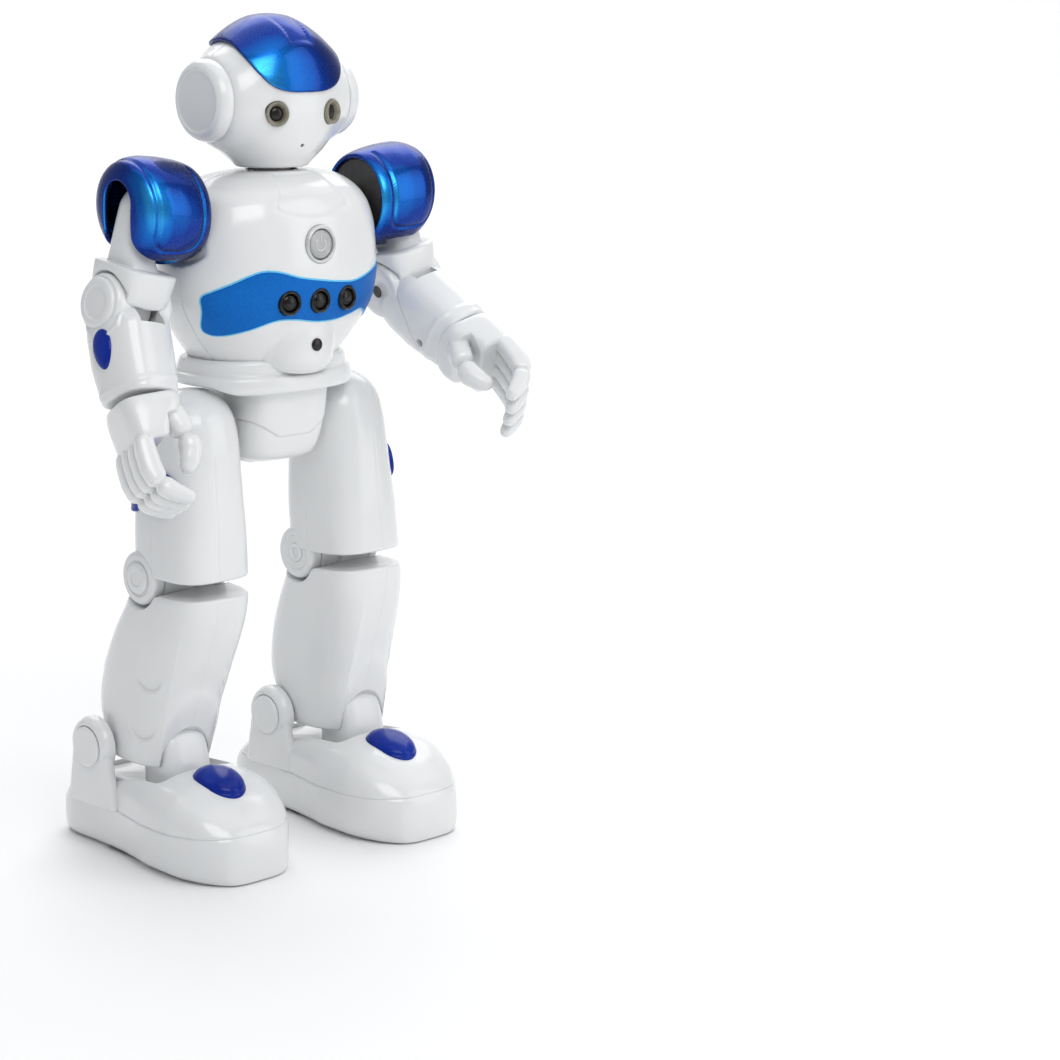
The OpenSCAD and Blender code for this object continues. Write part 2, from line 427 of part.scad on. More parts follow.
// involute spur gear centred on its axis
function inv(rb, t) = [rb*(cos(t) + t*PI/180*sin(t)), rb*(sin(t) - t*PI/180*cos(t))];
function rot2(p, a) = [p[0]*cos(a)-p[1]*sin(a), p[0]*sin(a)+p[1]*cos(a)];
function mir2(p) = [p[0], -p[1]];
module gear2d(z, m, bl = 0.1, phase = 0) {
  rp = z*m/2;  rb = rp*cos(20);  ra = rp + 0.85*m;  rr = rp - 1.05*m;
  half = 90/z - bl/2/rp*180/PI;
  tp = sqrt(pow(rp/rb,2)-1)*180/PI;
  a0 = half + atan2(inv(rb,tp)[1], inv(rb,tp)[0]);
  ta = sqrt(pow(ra/rb,2)-1)*180/PI;
  polygon([for (k = [0:z-1]) let (c = 360*k/z + phase)
    each concat([rot2([rr,0], c - 180/z + 0.01), rot2([rr,0], c - a0)],
      [for (i = [0:4]) rot2(rot2(inv(rb, ta*i/4), -a0), c)],
      [for (i = [4:-1:0]) rot2(mir2(rot2(inv(rb, ta*i/4), -a0)), c)],
      [rot2([rr,0], c + a0)])]);
}
// the gear plane is YZ: 2-D x runs along +Y, 2-D y along +Z
module gear_x(z, x0, w, y, zc, phase, bore) { translate([x0, y, zc]) rotate([90,0,90]) difference() {
  linear_extrude(w) gear2d(z, gear_m, 0.1, phase);
  if (bore > 0) translate([0,0,-1]) cylinder(r = bore, h = w+2, $fn = 32);
} }
pin_dir = 180;
module drive_axle() { xcyl(1.25, foot_x-15.4, foot_x+15.4, wheel_y, wheel_z, 32);
  gear_x(axle_teeth, foot_x-5.6, 2.4, wheel_y, wheel_z, 0, 0); }
module drive_wheels() { for (s = [-1,1]) translate([foot_x+s*12.6-1.9, wheel_y, wheel_z]) rotate([0,90,0]) difference() {
  rotate_extrude($fn = 64) polygon([[1.25,0],[wheel_r-0.5,0],[wheel_r,0.5],[wheel_r,3.3],[wheel_r-0.5,3.8],[1.25,3.8]]);
} }
module motor_pinion() { gear_x(pinion_teeth, foot_x-5.8, 2.8, wheel_y-pin_d, wheel_z, 180/pinion_teeth, 0);
  xcyl(0.8, foot_x-3.0, foot_x-2.2, wheel_y-pin_d, wheel_z, 32); }
module drive_motor() { xcyl(6.0, foot_x-2.0, foot_x+6.0, wheel_y-pin_d, wheel_z, 48); xcyl(2, foot_x+6.0, foot_x+6.6, wheel_y-pin_d, wheel_z, 32); }
module foot_cover_right() { color(WHITE) in_foot(-1) foot_cover(-1); }
module foot_cover_left() { color(WHITE) in_foot(1) foot_cover(1); }
module sole_tub_right() { color(WHITE) in_foot(-1) sole_tub(); }
module sole_tub_left() { color(WHITE) in_foot(1) sole_tub(); }
module foot_button_right() { color(NAVY) in_foot(-1) foot_button(); }
module foot_button_left() { color(NAVY) in_foot(1) foot_button(); }
module drive_motor_right() { color(STEEL) in_foot(-1) drive_motor(); }
module drive_motor_left() { color(STEEL) in_foot(1) drive_motor(); }
module motor_pinion_right() { color("gold") in_foot(-1) motor_pinion(); }
module motor_pinion_left() { color("gold") in_foot(1) motor_pinion(); }
module drive_axle_right() { color("ivory") in_foot(-1) drive_axle(); }
module drive_axle_left() { color("ivory") in_foot(1) drive_axle(); }
module drive_wheels_right() { color(DARK) in_foot(-1) drive_wheels(); }
module drive_wheels_left() { color(DARK) in_foot(1) drive_wheels(); }

chest_front_shell();
chest_back_shell();
chest_band();
infrared_lenses();
button_bezel();
main_board();
battery_pack();
battery_door();
charge_socket();
torso_screws();
waist_ring();
pelvis_front_shell();
pelvis_back_shell();
hip_rod();
speaker();
neck_post();
head_front_shell();
head_back_shell();
crest_cover();
ear_cap_right();
ear_cap_left();
eye_rings();
eye_lamps();
power_button();
shoulder_cowl_right();
upper_arm_right();
elbow_pin_right();
forearm_shell_right();
forearm_button_right();
hand_right();
shoulder_cowl_left();
upper_arm_left();
elbow_pin_left();
forearm_shell_left();
forearm_button_left();
hand_left();
thigh_shell_right();
knee_pin_right();
shin_shell_right();
ankle_pin_right();
foot_cover_right();
sole_tub_right();
foot_button_right();
drive_motor_right();
motor_pinion_right();
drive_axle_right();
thigh_shell_left();
knee_pin_left();
shin_shell_left();
ankle_pin_left();
foot_cover_left();
sole_tub_left();
foot_button_left();
drive_motor_left();
motor_pinion_left();
drive_axle_left();
drive_wheels_right();
drive_wheels_left();
thigh_trim_right();
thigh_trim_left();
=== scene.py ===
import bpy, bmesh, json, math
import numpy as np
from mathutils import Matrix, Vector
from mathutils.geometry import delaunay_2d_cdt


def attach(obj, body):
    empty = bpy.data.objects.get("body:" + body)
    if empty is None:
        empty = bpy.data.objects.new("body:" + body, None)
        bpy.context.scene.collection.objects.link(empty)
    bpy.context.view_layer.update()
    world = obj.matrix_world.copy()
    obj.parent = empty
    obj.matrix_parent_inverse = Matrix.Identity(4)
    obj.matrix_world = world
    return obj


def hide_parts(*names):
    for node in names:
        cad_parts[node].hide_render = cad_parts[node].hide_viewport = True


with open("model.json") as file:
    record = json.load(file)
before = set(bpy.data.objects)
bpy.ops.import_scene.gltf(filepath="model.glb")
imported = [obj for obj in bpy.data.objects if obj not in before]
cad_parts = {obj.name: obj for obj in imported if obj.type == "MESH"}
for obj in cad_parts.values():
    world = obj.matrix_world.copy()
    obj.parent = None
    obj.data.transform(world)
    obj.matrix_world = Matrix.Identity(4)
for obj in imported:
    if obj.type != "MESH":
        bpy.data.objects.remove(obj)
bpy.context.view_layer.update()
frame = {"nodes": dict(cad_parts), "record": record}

OX, OY = 0.82, 5.89          # the CAD's shift of the model, mm
PI = math.pi

# ------------------------------------------------------------------ tables
TORSO = [[159.7,0,-1,24.5,19.5,2.3],[164,0,-1.5,28,21.5,2.3],[171,0,-2.5,32.5,24.5,2.3],[179,0,-3.5,36,26,2.3],
 [189,0,-4,37,26.5,2.3],[199,0,-4,36.5,26,2.3],[207,0,-4.5,34,24,2.3],[213,0,-5,29,20,2.2],[216.5,0,-5.5,22,14.5,2.1],[217.8,0,-6.5,13,10.5,2],[217.9,0,-7,8.2,8.0,2]]
HEAD = [[218.6,0,-7,8.0,8.0,2],[218.8,0,-7,11,10.5,2],[221,0,-7,13.5,12.5,2],[224.5,0,-6.5,17.5,15.3,2.1],[229.5,0,-6,21.7,17.6,2.2],[236,0,-6,25,19,2.3],
 [244,0,-6,25,19.2,2.3],[251,0,-6,22,18,2.3],[256.5,0,-6,16.4,15.4,2.2],[260.5,0,-6,10,10.8,2],[262.4,0,-6,4.2,5,2],[262.7,0,-6,0.6,0.7,2]]
BELT = [[151.6,0,0,28.3,21.4,2.5],[152.3,0,0,29.2,22.3,2.5],[153.6,0,0,29.5,22.5,2.5],[154.9,0,0,29.1,22.1,2.5],[155.5,0,0,28.0,21.2,2.5],[159.0,0,-0.4,27.2,20.7,2.4],[159.9,0,-0.4,26.3,19.9,2.4]]
PELVIS = [[125.5,0,0.8,10.4,10.2,3.2],[128,0,0.1,14,13.6,3.6],[138,0,-0.9,15.5,15.9,4.4],[151.5,0,-1.4,15.6,17.4,5]]
THIGH = [[92.6,30.5,-2.6,14.6,16.6,3.2],[105,30.4,-1.8,14.8,16.8,3],[120,30.2,-1.2,14.1,16.3,2.8],[130,30.1,-1,13.8,15.8,2.6],
 [136,30,-1,13.5,15.2,2.5],[142,30,-1,12.7,14,2.4],[147,30,-1,10.8,10.8,2.2],[150,30,-1,7.5,6.2,2],[151,30,-1,4,3,2],[151.2,30,-1,0.5,0.4,2]]
SHIN = [[31,34.4,10,13.2,15.6,2.7],[34,34.2,10.4,13.8,16.8,2.7],[47,33.4,11.2,14.3,21.2,2.8],[60,32.6,8.2,15,22,2.8],
 [72,31.8,3.6,15.4,20.8,3],[82,31,-0.4,15.3,18.6,3.2],[87.4,30.6,-1.7,15.1,17.5,3.2]]
FOOT = [[-40,6,11],[-38.3,11.5,16],[-34,16,20.5],[-28,19.5,25],[-19,21.7,29],[-8,21.5,30.3],[3,19.5,30.3],[14,17.6,29],[26,16.6,27],[38,16,22.5],[46,13.5,17.5],[50.5,8.5,12.5]]
FORE = [[-30,0,0,9.8,10.9,2.9],[-25,0,0.3,10.5,11.3,2.8],[-16,0,0.8,11.2,12,2.7],[-9,0,0.8,11.2,12,2.7],[-4,0,1.3,10.9,10.4,2.6],[-1,0,1.6,9.6,8.2,2.4]]
R_PITCH, R_ROLL, R_ELBOW, R_WRIST = -8, 12.5, 34, 22
L_PITCH, L_ROLL, L_ELBOW, L_WRIST = 1, 12.5, 54, -12
SH = np.array([47, -6.5, 207.5]); UL = FL = 30.0
HIP = np.array([0, -1, 136.0]); KNEE = (6, 91.4); ANK = (23, 34)
LEG = math.hypot(ANK[0]-HIP[1], ANK[1]-HIP[2]); STRIDE = 6.0
FX = 33.4; SPLIT = -6.5

# ------------------------------------------------------------------ frames
def Rx(d): d = math.radians(d); c, s = math.cos(d), math.sin(d); return np.array([[1,0,0],[0,c,-s],[0,s,c]])
def Ry(d): d = math.radians(d); c, s = math.cos(d), math.sin(d); return np.array([[c,0,s],[0,1,0],[-s,0,c]])
def Rz(d): d = math.radians(d); c, s = math.cos(d), math.sin(d); return np.array([[c,-s,0],[s,c,0],[0,0,1]])
FLIP = np.diag([-1.0, 1, 1])
def place(side, origin=(0,0,0), M=np.eye(3)):
    def f(V):
        W = np.asarray(V) @ np.asarray(M).T + np.asarray(origin)
        return W @ FLIP if side < 0 else W
    f.flip = side < 0
    return f
def arm(side, part):
    p, r, e, w = (R_PITCH, R_ROLL, R_ELBOW, R_WRIST) if side < 0 else (L_PITCH, L_ROLL, L_ELBOW, L_WRIST)
    M0 = Rx(-p); M1 = M0 @ Ry(-r); E = SH + M1 @ [0,0,-UL]; M2 = M1 @ Rx(-e); W = E + M2 @ [0,0,-FL]; M3 = M2 @ Ry(9) @ Rz(w)
    o, M = {"cowl": (SH, M0), "upper": (SH, M1), "fore": (E, M2), "hand": (W, M3)}[part]
    return place(side, o, M)
def lean(side): return math.degrees(math.asin(STRIDE/2/LEG))*side
def leg(side):
    M = Rx(-lean(side)); return place(side, HIP - M @ HIP, M)
def ankle(side): return HIP + Rx(-lean(side)) @ (np.array([0, ANK[0], ANK[1]]) - HIP)
def foot(side): return place(side, (0, ankle(side)[1]-ANK[0], 0))
HERE = place(1)

# ------------------------------------------------------------------ numeric helpers
def pchip(x, y, xi):
    x = np.asarray(x, float); y = np.asarray(y, float); h = np.diff(x); d = np.diff(y)/h; m = np.zeros(len(x))
    for k in range(1, len(x)-1):
        if d[k-1]*d[k] > 0:
            w1 = 2*h[k]+h[k-1]; w2 = h[k]+2*h[k-1]; m[k] = (w1+w2)/(w1/d[k-1]+w2/d[k])
    m[0], m[-1] = d[0], d[-1]
    i = np.clip(np.searchsorted(x, xi)-1, 0, len(x)-2); t = (xi-x[i])/h[i]
    return ((2*t**3-3*t**2+1)*y[i] + (t**3-2*t**2+t)*h[i]*m[i] + (-2*t**3+3*t**2)*y[i+1] + (t**3-t**2)*h[i]*m[i+1])
def sst(x): x = np.clip(x, 0, 1); return x*x*(3-2*x)
def smax(a, b, k): h = np.clip(0.5+0.5*(a-b)/k, 0, 1); return b*(1-h)+a*h + k*h*(1-h)
def spl(pts, step=0.5, closed=True):
    P = np.asarray(pts, float); n = len(P); out = []
    for i in range(n if closed else n-1):
        g = lambda j: P[j % n] if closed else P[min(max(j, 0), n-1)]
        a, b, c, d = g(i-1), g(i), g(i+1), g(i+2)
        k = max(2, int(np.linalg.norm(c-b)/step)+1)
        for t in np.arange(k)/k:
            out.append(0.5*((2*b)+(c-a)*t+(2*a-5*b+4*c-d)*t*t+(3*b-a-3*c+d)*t**3))
    if not closed: out.append(P[-1])
    return np.array(out)
def resample(P, step, closed=True):
    P = np.asarray(P, float); Q = np.vstack([P, P[:1]]) if closed else P
    s = np.r_[0, np.cumsum(np.linalg.norm(np.diff(Q, axis=0), axis=1))]
    n = max(8, int(s[-1]/step)); t = np.linspace(0, s[-1], n, endpoint=not closed)
    return np.stack([np.interp(t, s, Q[:, k]) for k in range(Q.shape[1])], 1)
def area2(P): x, y = P[:,0], P[:,1]; return 0.5*np.sum(x*np.roll(y,-1)-np.roll(x,-1)*y)
def inset(P, d):
    """A closed counter-clockwise loop moved inward by d."""
    T = np.roll(P,-1,0)-np.roll(P,1,0); T /= np.linalg.norm(T, axis=1)[:,None]+1e-12
    return P + d*np.stack([-T[:,1], T[:,0]], 1)
def inside(Q, P):
    x, y = Q[:,0], Q[:,1]; r = np.zeros(len(Q), bool); a = P; b = np.roll(P,-1,0)
    for i in range(len(P)):
        (x0,y0),(x1,y1) = a[i], b[i]
        if y0 == y1: continue
        r ^= ((y0 > y) != (y1 > y)) & (x < (x1-x0)*(y-y0)/(y1-y0)+x0)
    return r
def dist_pts(Q, P):
    out = np.empty(len(Q))
    for i in range(0, len(Q), 2000): out[i:i+2000] = np.sqrt(((Q[i:i+2000,None]-P[None])**2).sum(2)).min(1)
    return out
def seg_dist(Q, P):
    """Distance of 2-D points to an open polyline."""
    best = np.full(Q.shape[:-1], 1e9)
    for a, b in zip(P[:-1], P[1:]):
        a = np.asarray(a, float); b = np.asarray(b, float); d = b-a
        t = np.clip(((Q-a)@d)/(d@d), 0, 1); best = np.minimum(best, np.linalg.norm(Q-a-t[...,None]*d, axis=-1))
    return best
def rounded(P, r=0.3, k=4):
    """Profile polyline with its inner corners rounded."""
    P = [np.asarray(p, float) for p in P]; out = [P[0]]
    for i in range(1, len(P)-1):
        a, b, c = P[i-1], P[i], P[i+1]; la, lc = np.linalg.norm(a-b), np.linalg.norm(c-b)
        ri = r[i] if isinstance(r, (list, tuple)) else r
        q = min(ri, 0.46*la, 0.46*lc)
        if q < 1e-4: out.append(b); continue
        p0 = b+(a-b)/la*q; p1 = b+(c-b)/lc*q
        out.append(b+(a-b)/la*min(q*1.25, 0.49*la))
        for t in np.linspace(0, 1, k+1): out.append((1-t)**2*p0+2*t*(1-t)*b+t*t*p1)
        out.append(b+(c-b)/lc*min(q*1.25, 0.49*lc))
    out.append(P[-1]); return np.array(out)

# ------------------------------------------------------------------ meshes
PARTS = []
def mesh(name, V, F, where=HERE, angle=None):
    """A mesh object from millimetre points and faces, facing outwards."""
    V = where(np.asarray(V, float)) + [OX, OY, 0]; V = V/1000
    F = [tuple(int(i) for i in f) for f in F]
    me = bpy.data.meshes.new(name); me.from_pydata(V.tolist(), [], F); me.validate(clean_customdata=False)
    bm = bmesh.new(); bm.from_mesh(me); bmesh.ops.remove_doubles(bm, verts=bm.verts, dist=1e-7)
    bmesh.ops.recalc_face_normals(bm, faces=bm.faces)
    if len(bm.faces) and bm.calc_volume(signed=True) < 0: bmesh.ops.reverse_faces(bm, faces=bm.faces)
    bm.to_mesh(me); bm.free()
    me.polygons.foreach_set("use_smooth", [True]*len(me.polygons))
    if angle: me.set_sharp_from_angle(angle=math.radians(angle))
    ob = bpy.data.objects.new(name, me); bpy.context.scene.collection.objects.link(ob); return ob
def grid_faces(R, C, closed=True, base=0, flip=False):
    F = []; n = C if closed else C-1
    for i in range(R-1):
        for j in range(n):
            a, b = base+i*C+j, base+i*C+(j+1) % C
            F.append((a, b, b+C, a+C) if not flip else (a+C, b+C, b, a))
    return F
def capped(P):
    """Vertices and faces of a closed grid P (rows, columns, 3) with a rounded-in flat cap at each end."""
    R, C, _ = P.shape
    rings = [P[i] for i in range(R)]
    for end, ins in ((0, rings.insert), (-1, None)):
        ring = rings[end]; c = ring.mean(0)
        for f in (0.985, 0.93, 0.7, 0.35):
            q = c+(ring-c)*f
            if end == 0: rings.insert(0, q)
            else: rings.append(q)
    G = np.array(rings); R = len(G); V = G.reshape(-1, 3); F = grid_faces(R, C)
    V = np.vstack([V, G[0].mean(0), G[-1].mean(0)]); n = R*C
    F += [(j, (j+1) % C, n) for j in range(C)] + [((R-1)*C+(j+1) % C, (R-1)*C+j, n+1) for j in range(C)]
    return V, F
def lathe(prof, O, A, seg=96, k=1.0):
    """Turned shape: profile rows (radius, height along A) about the line through O."""
    prof = np.asarray(prof, float); A = np.asarray(A, float); A /= np.linalg.norm(A)
    U = np.cross(A, [0,0,1.0]) if abs(A[2]) < 0.9 else np.cross(A, [1.0,0,0]); U /= np.linalg.norm(U); W = np.cross(A, U)
    t = np.linspace(0, 2*PI, seg, endpoint=False)
    P = np.asarray(O, float) + prof[:,0][:,None,None]*(np.cos(t)[None,:,None]*U+np.sin(t)[None,:,None]*W*k) + prof[:,1][:,None,None]*A
    return P
def turned(prof, O, A, seg=96, k=1.0):
    """A closed turned solid. A profile that starts and ends on the axis closes itself; one that doesn't closes into a ring."""
    P = lathe(prof, O, A, seg, k); R, C = P.shape[:2]; V = P.reshape(-1, 3)
    if prof[0][0] < 1e-6 and prof[-1][0] < 1e-6: return V, grid_faces(R, C)
    F = grid_faces(R, C) + [((R-1)*C+j, (R-1)*C+(j+1) % C, (j+1) % C, j) for j in range(C)]
    return V, F
def merge(*parts):
    V, F, n = [], [], 0
    for v, f in parts:
        V.append(np.asarray(v)); F += [tuple(i+n for i in q) for q in f]; n += len(v)
    return np.vstack(V), F

class Loft:
    """Smooth superellipse loft. u = angle x ref radius, v = arc length along the table."""
    def __init__(self, T, ref=30.0, warp=None):
        T = np.array(T, float); d = np.diff(T, axis=0)
        s = np.r_[0, np.cumsum(np.sqrt(d[:,0]**2+np.maximum(abs(d[:,3]), abs(d[:,4]))**2))]
        self.len = s[-1]; si = np.linspace(0, s[-1], 600)
        self.s = si; self.R = np.stack([pchip(s, T[:,k], si) for k in range(6)], 1); self.ref = ref; self.warp = warp
    def row(self, v): return [np.interp(v, self.s, self.R[:,k]) for k in range(6)]
    def v_at(self, z): return np.interp(z, self.R[:,0], self.s)
    def raw(self, u, v):
        z, xc, yc, a, b, n = self.row(v); ph = u/self.ref; c, s = np.cos(ph), np.sin(ph)
        r = ((abs(c)/a)**n+(abs(s)/b)**n)**(-1/n)
        P = np.stack([xc+r*c, yc+r*s, z+0*ph], -1)
        return self.warp(P) if self.warp else P
    def __call__(self, u, v, e=0.02):
        u = np.asarray(u, float); v = np.asarray(v, float)
        P = self.raw(u, v); du = self.raw(u+e, v)-self.raw(u-e, v)
        v1, v0 = np.minimum(v+e, self.len), np.maximum(v-e, 0); dv = self.raw(u, v1)-self.raw(u, v0)
        N = np.cross(du, dv); N /= np.linalg.norm(N, axis=-1)[...,None]+1e-12
        return P, N
    def split_phi(self, y, v):
        """Angles at which the ring at v crosses the plane at y."""
        z, xc, yc, a, b, n = self.row(v); q = np.clip((y-yc)/b, -0.999, 0.999)
        return np.arctan2(q*b, a*(1-abs(q)**n)**(1/n))
    def cast(self, O, D):
        """Where rays from O along D leave the loft."""
        D = D/np.linalg.norm(D, axis=-1)[...,None]; lo = np.zeros(D.shape[:-1]); hi = lo+80.0
        for _ in range(34):
            t = (lo+hi)/2; p = O+t[...,None]*D
            z = p[...,2]; zz = np.clip(z, self.R[0,0], self.R[-1,0])
            xc, yc, a, b, n = [np.interp(zz, self.R[:,0], self.R[:,k]) for k in range(1, 6)]
            f = (abs((p[...,0]-xc)/a)**n+(abs((p[...,1]-yc)/b))**n < 1) & (z == zz)
            lo = np.where(f, t, lo); hi = np.where(f, hi, t)
        return O+((lo+hi)/2)[...,None]*D

def patch(S, loop, holes=(), step=0.8, r=0.3, t=1.6, h=0.0, edge=0.45):
    """A shell of thickness t over a region of surface S: outer loop and hole loops in S's own plane, every edge rounded by r."""
    loop = resample(loop, edge); loop = loop if area2(loop) > 0 else loop[::-1]
    holes = [resample(q, min(edge, 0.35)) for q in holes]; holes = [q if area2(q) < 0 else q[::-1] for q in holes]
    rings, drop, edges, pts, n = [], [], [], [], 0
    al = np.radians([0, 22, 45, 67, 90]) if r > 0 else [0]
    limits = []
    for L in [loop]+holes:
        for k, a in enumerate(al):
            q = inset(L, r*(1-math.cos(a))) if k else L
            m = len(q); pts.append(q); drop += [r*(1-math.sin(a))]*m
            edges += [(n+i, n+(i+1) % m) for i in range(m)]; n += m
            if k == len(al)-1: limits.append(q)
    lo, hi = loop.min(0), loop.max(0); hx = step; hy = step*0.866
    gx, gy = np.meshgrid(np.arange(lo[0], hi[0], hx), np.arange(lo[1], hi[1], hy)); gx = gx+(np.arange(len(gx)) % 2)[:,None]*hx/2
    G = np.stack([gx.ravel(), gy.ravel()], 1); G = G[inside(G, limits[0])]
    for q in limits[1:]: G = G[~inside(G, q)]
    G = G[dist_pts(G, np.vstack(limits)) > step*0.45]
    A = np.vstack(pts+[G]); drop = np.array(drop+[0.0]*len(G))
    res = delaunay_2d_cdt([Vector(p) for p in A.tolist()], edges, [], 0, 1e-6)
    W = np.array([(v[0], v[1]) for v in res[0]]); Fc = np.array([tuple(f) for f in res[2] if len(f) == 3])
    org = res[3]; e = np.array([drop[o[0]] if len(o) else 0.0 for o in org])
    cen = W[Fc].mean(1); keep = inside(cen, loop)
    for q in holes: keep &= ~inside(cen, q)
    Fc = Fc[keep]
    P, N = S(W[:,0], W[:,1])
    top = P+N*(h-e)[:,None]; bot = P+N*(h-t)
    Fl = [tuple(f) for f in Fc]; m = len(W)
    cnt = {}
    for f in Fl:
        for i in range(3):
            a, b = f[i], f[(i+1) % 3]; cnt[(a, b)] = 1
    side = [(a, b) for (a, b) in cnt if (b, a) not in cnt]
    F = Fl+[tuple(i+m for i in f[::-1]) for f in Fl]+[(b, a, a+m, b+m) for a, b in side]
    used = sorted({i for f in F for i in f}); mp = {o: i for i, o in enumerate(used)}
    V = np.vstack([top, bot])[used]
    return V, [tuple(mp[i] for i in f) for f in F]

def body_loft(T, m=240, ds=0.5, rb=1.0, rt=1.0, disp=None, warp=None, zlo=None, zhi=None):
    """A closed solid from a smooth loft, with rounded ends and a displacement along the normal."""
    L = Loft(T, 30.0, warp); n = max(12, int(L.len/ds)); v = np.linspace(0, L.len, n)
    al = np.radians(np.arange(0, 91, 15))
    eb = rb*(1-np.cos(al)) if rb > 0 else np.array([]); et = L.len-rt*(1-np.cos(al)) if rt > 0 else np.array([])
    v = np.unique(np.round(np.r_[v[(v > rb) & (v < L.len-rt)], eb, et, 0, L.len], 5))
    u = np.linspace(-PI, PI, m, endpoint=False)*30
    U, Vv = np.meshgrid(u, v); P, N = L(U, Vv)
    d = np.zeros(P.shape[:2])
    if rb > 0: q = np.clip(rb-Vv, 0, rb); d -= np.where(Vv < rb, rb-np.sqrt(np.maximum(rb**2-q**2, 0)), 0)
    if rt > 0: q = np.clip(rt-(L.len-Vv), 0, rt); d -= np.where(L.len-Vv < rt, rt-np.sqrt(np.maximum(rt**2-q**2, 0)), 0)
    Nh = N.copy(); Nh[...,2] *= 0.0; Nh /= np.linalg.norm(Nh, axis=-1)[...,None]+1e-9
    P = P+Nh*d[...,None]
    if disp is not None: P = P+N*disp(P, N)[...,None]
    return capped(P)
def cut(ob, cutters, angle=38):
    """Takes cutter solids out of a mesh object."""
    cs = []
    for i, (V, F, w) in enumerate(cutters):
        c = mesh("cutter", V, F, w); cs.append(c)
        md = ob.modifiers.new("c%d" % i, "BOOLEAN"); md.object = c; md.operation = "DIFFERENCE"; md.solver = "EXACT"
    dg = bpy.context.evaluated_depsgraph_get(); new = bpy.data.meshes.new_from_object(ob.evaluated_get(dg)); ob.modifiers.clear()
    ob.data = new; new.polygons.foreach_set("use_smooth", [True]*len(new.polygons)); new.set_sharp_from_angle(angle=math.radians(angle))
    for c in cs: bpy.data.objects.remove(c)
    return ob
def hole(O, A, r, depth, out=6.0, where=HERE, seg=48):
    V, F = turned([(0,-depth),(r,-depth),(r,out),(0,out)], O, A, seg); return (V, F, where)
def box_solid(x0, x1, y0, y1, z0, z1, r=1.0):
    """A box with rounded vertical edges."""
    cx, cy = (x0+x1)/2, (y0+y1)/2; q = []
    for sx, sy, a0 in ((1,1,0),(-1,1,90),(-1,-1,180),(1,-1,270)):
        for a in np.radians(a0+np.arange(0, 91, 15)): q.append((cx+sx*((x1-x0)/2-r)+r*math.cos(a), cy+sy*((y1-y0)/2-r)+r*math.sin(a)))
    q = np.array(q); P = np.stack([np.c_[q, np.full(len(q), z)] for z in (z0, z1)])
    n = len(q); V = P.reshape(-1, 3); return V, grid_faces(2, n)+[tuple(range(n))[::-1], tuple(range(n, 2*n))]
def add(name, VF, slot, body, where=HERE, replaces=(), angle=None, mat=None, extra=None):
    ob = mesh(name, VF[0], VF[1], where, angle); PARTS.append((ob, slot, body, replaces, mat)); return ob

# ------------------------------------------------------------------ head
EAR = (-6.0, 239.6)
def head_warp(P):
    P = P.copy(); x = P[...,0]; rho = np.hypot(P[...,1]-EAR[0], P[...,2]-EAR[1])
    target = 22.95-0.30*np.maximum(rho-11.4, 0)**2
    target = np.where(rho < 12.9, np.minimum(target, 22.95), target)
    m = smax(abs(x), np.maximum(target, 0), 1.8)
    m = np.where(rho < 12.75, np.minimum(m, 22.95), m)
    w = sst((abs(x)-9.5)/5.0); P[...,0] = np.sign(x)*(abs(x)*(1-w)+m*w); return P
HEADS = Loft(HEAD, 24.0, head_warp)
HEAD0 = Loft(HEAD, 24.0)
def half_loop(L, v0, v1, y, front, gap=0.08):
    """Outline in (u, v) of the front or the back half of a loft, cut at y."""
    v = np.linspace(v0, v1, 160); f = L.split_phi(y-(gap if front else -gap), v)*L.ref; pi = PI*L.ref
    if front: a, b = -pi-f, f            # from the right side round the front to the left side
    else: a, b = f, pi-f
    return np.vstack([np.c_[np.linspace(a[0], b[0], 200), np.full(200, v0)][:-1], np.c_[b, v][:-1],
                      np.c_[np.linspace(b[-1], a[-1], 60), np.full(60, v1)][:-1], np.c_[a, v][::-1][:-1]])
def eye_frame(s):
    a = math.radians(s*16); M = np.array([[math.cos(a), -math.sin(a), 0],[math.sin(a), math.cos(a), 0],[0,0,1]])
    return np.array([s*10.9, -24.0, 235.7]), M @ np.array([0,-1.0,0])
def uv_of(L, Q, ref):
    """(u, v) of surface points near Q on loft L."""
    v = L.v_at(Q[:,2]); z, xc, yc = L.row(v)[:3]; u = np.arctan2(Q[:,1]-yc, Q[:,0]-xc)*ref
    return np.c_[np.where(u > ref*PI*0.5, u-2*PI*ref, u), v]
def circle3(O, A, r, n=64):
    A = np.asarray(A, float); A = A/np.linalg.norm(A); U = np.cross(A, [0,0,1.0]) if abs(A[2]) < 0.9 else np.cross(A, [1.0,0,0]); U /= np.linalg.norm(U); W = np.cross(A, U)
    t = np.linspace(0, 2*PI, n, endpoint=False); return np.asarray(O, float)+r*(np.cos(t)[:,None]*U+np.sin(t)[:,None]*W)

v1h = HEADS.len-0.4
eyes = [uv_of(HEADS, circle3(eye_frame(s)[0], eye_frame(s)[1], 3.85), HEADS.ref) for s in (-1, 1)]
mouth = uv_of(HEADS, circle3([0,-21.6,225.6], [0,-1,-0.6], 0.62, 24), HEADS.ref)
add("head_face", patch(HEADS, half_loop(HEADS, 0.05, v1h, -6.0, True), eyes+[mouth], 0.75, 0.3, 1.5), "white_shell", "head", replaces=["head_front_shell"])
add("head_rear", patch(HEADS, half_loop(HEADS, 0.05, v1h, -6.0, False), [], 0.8, 0.3, 1.5), "white_shell", "head", replaces=["head_back_shell"])
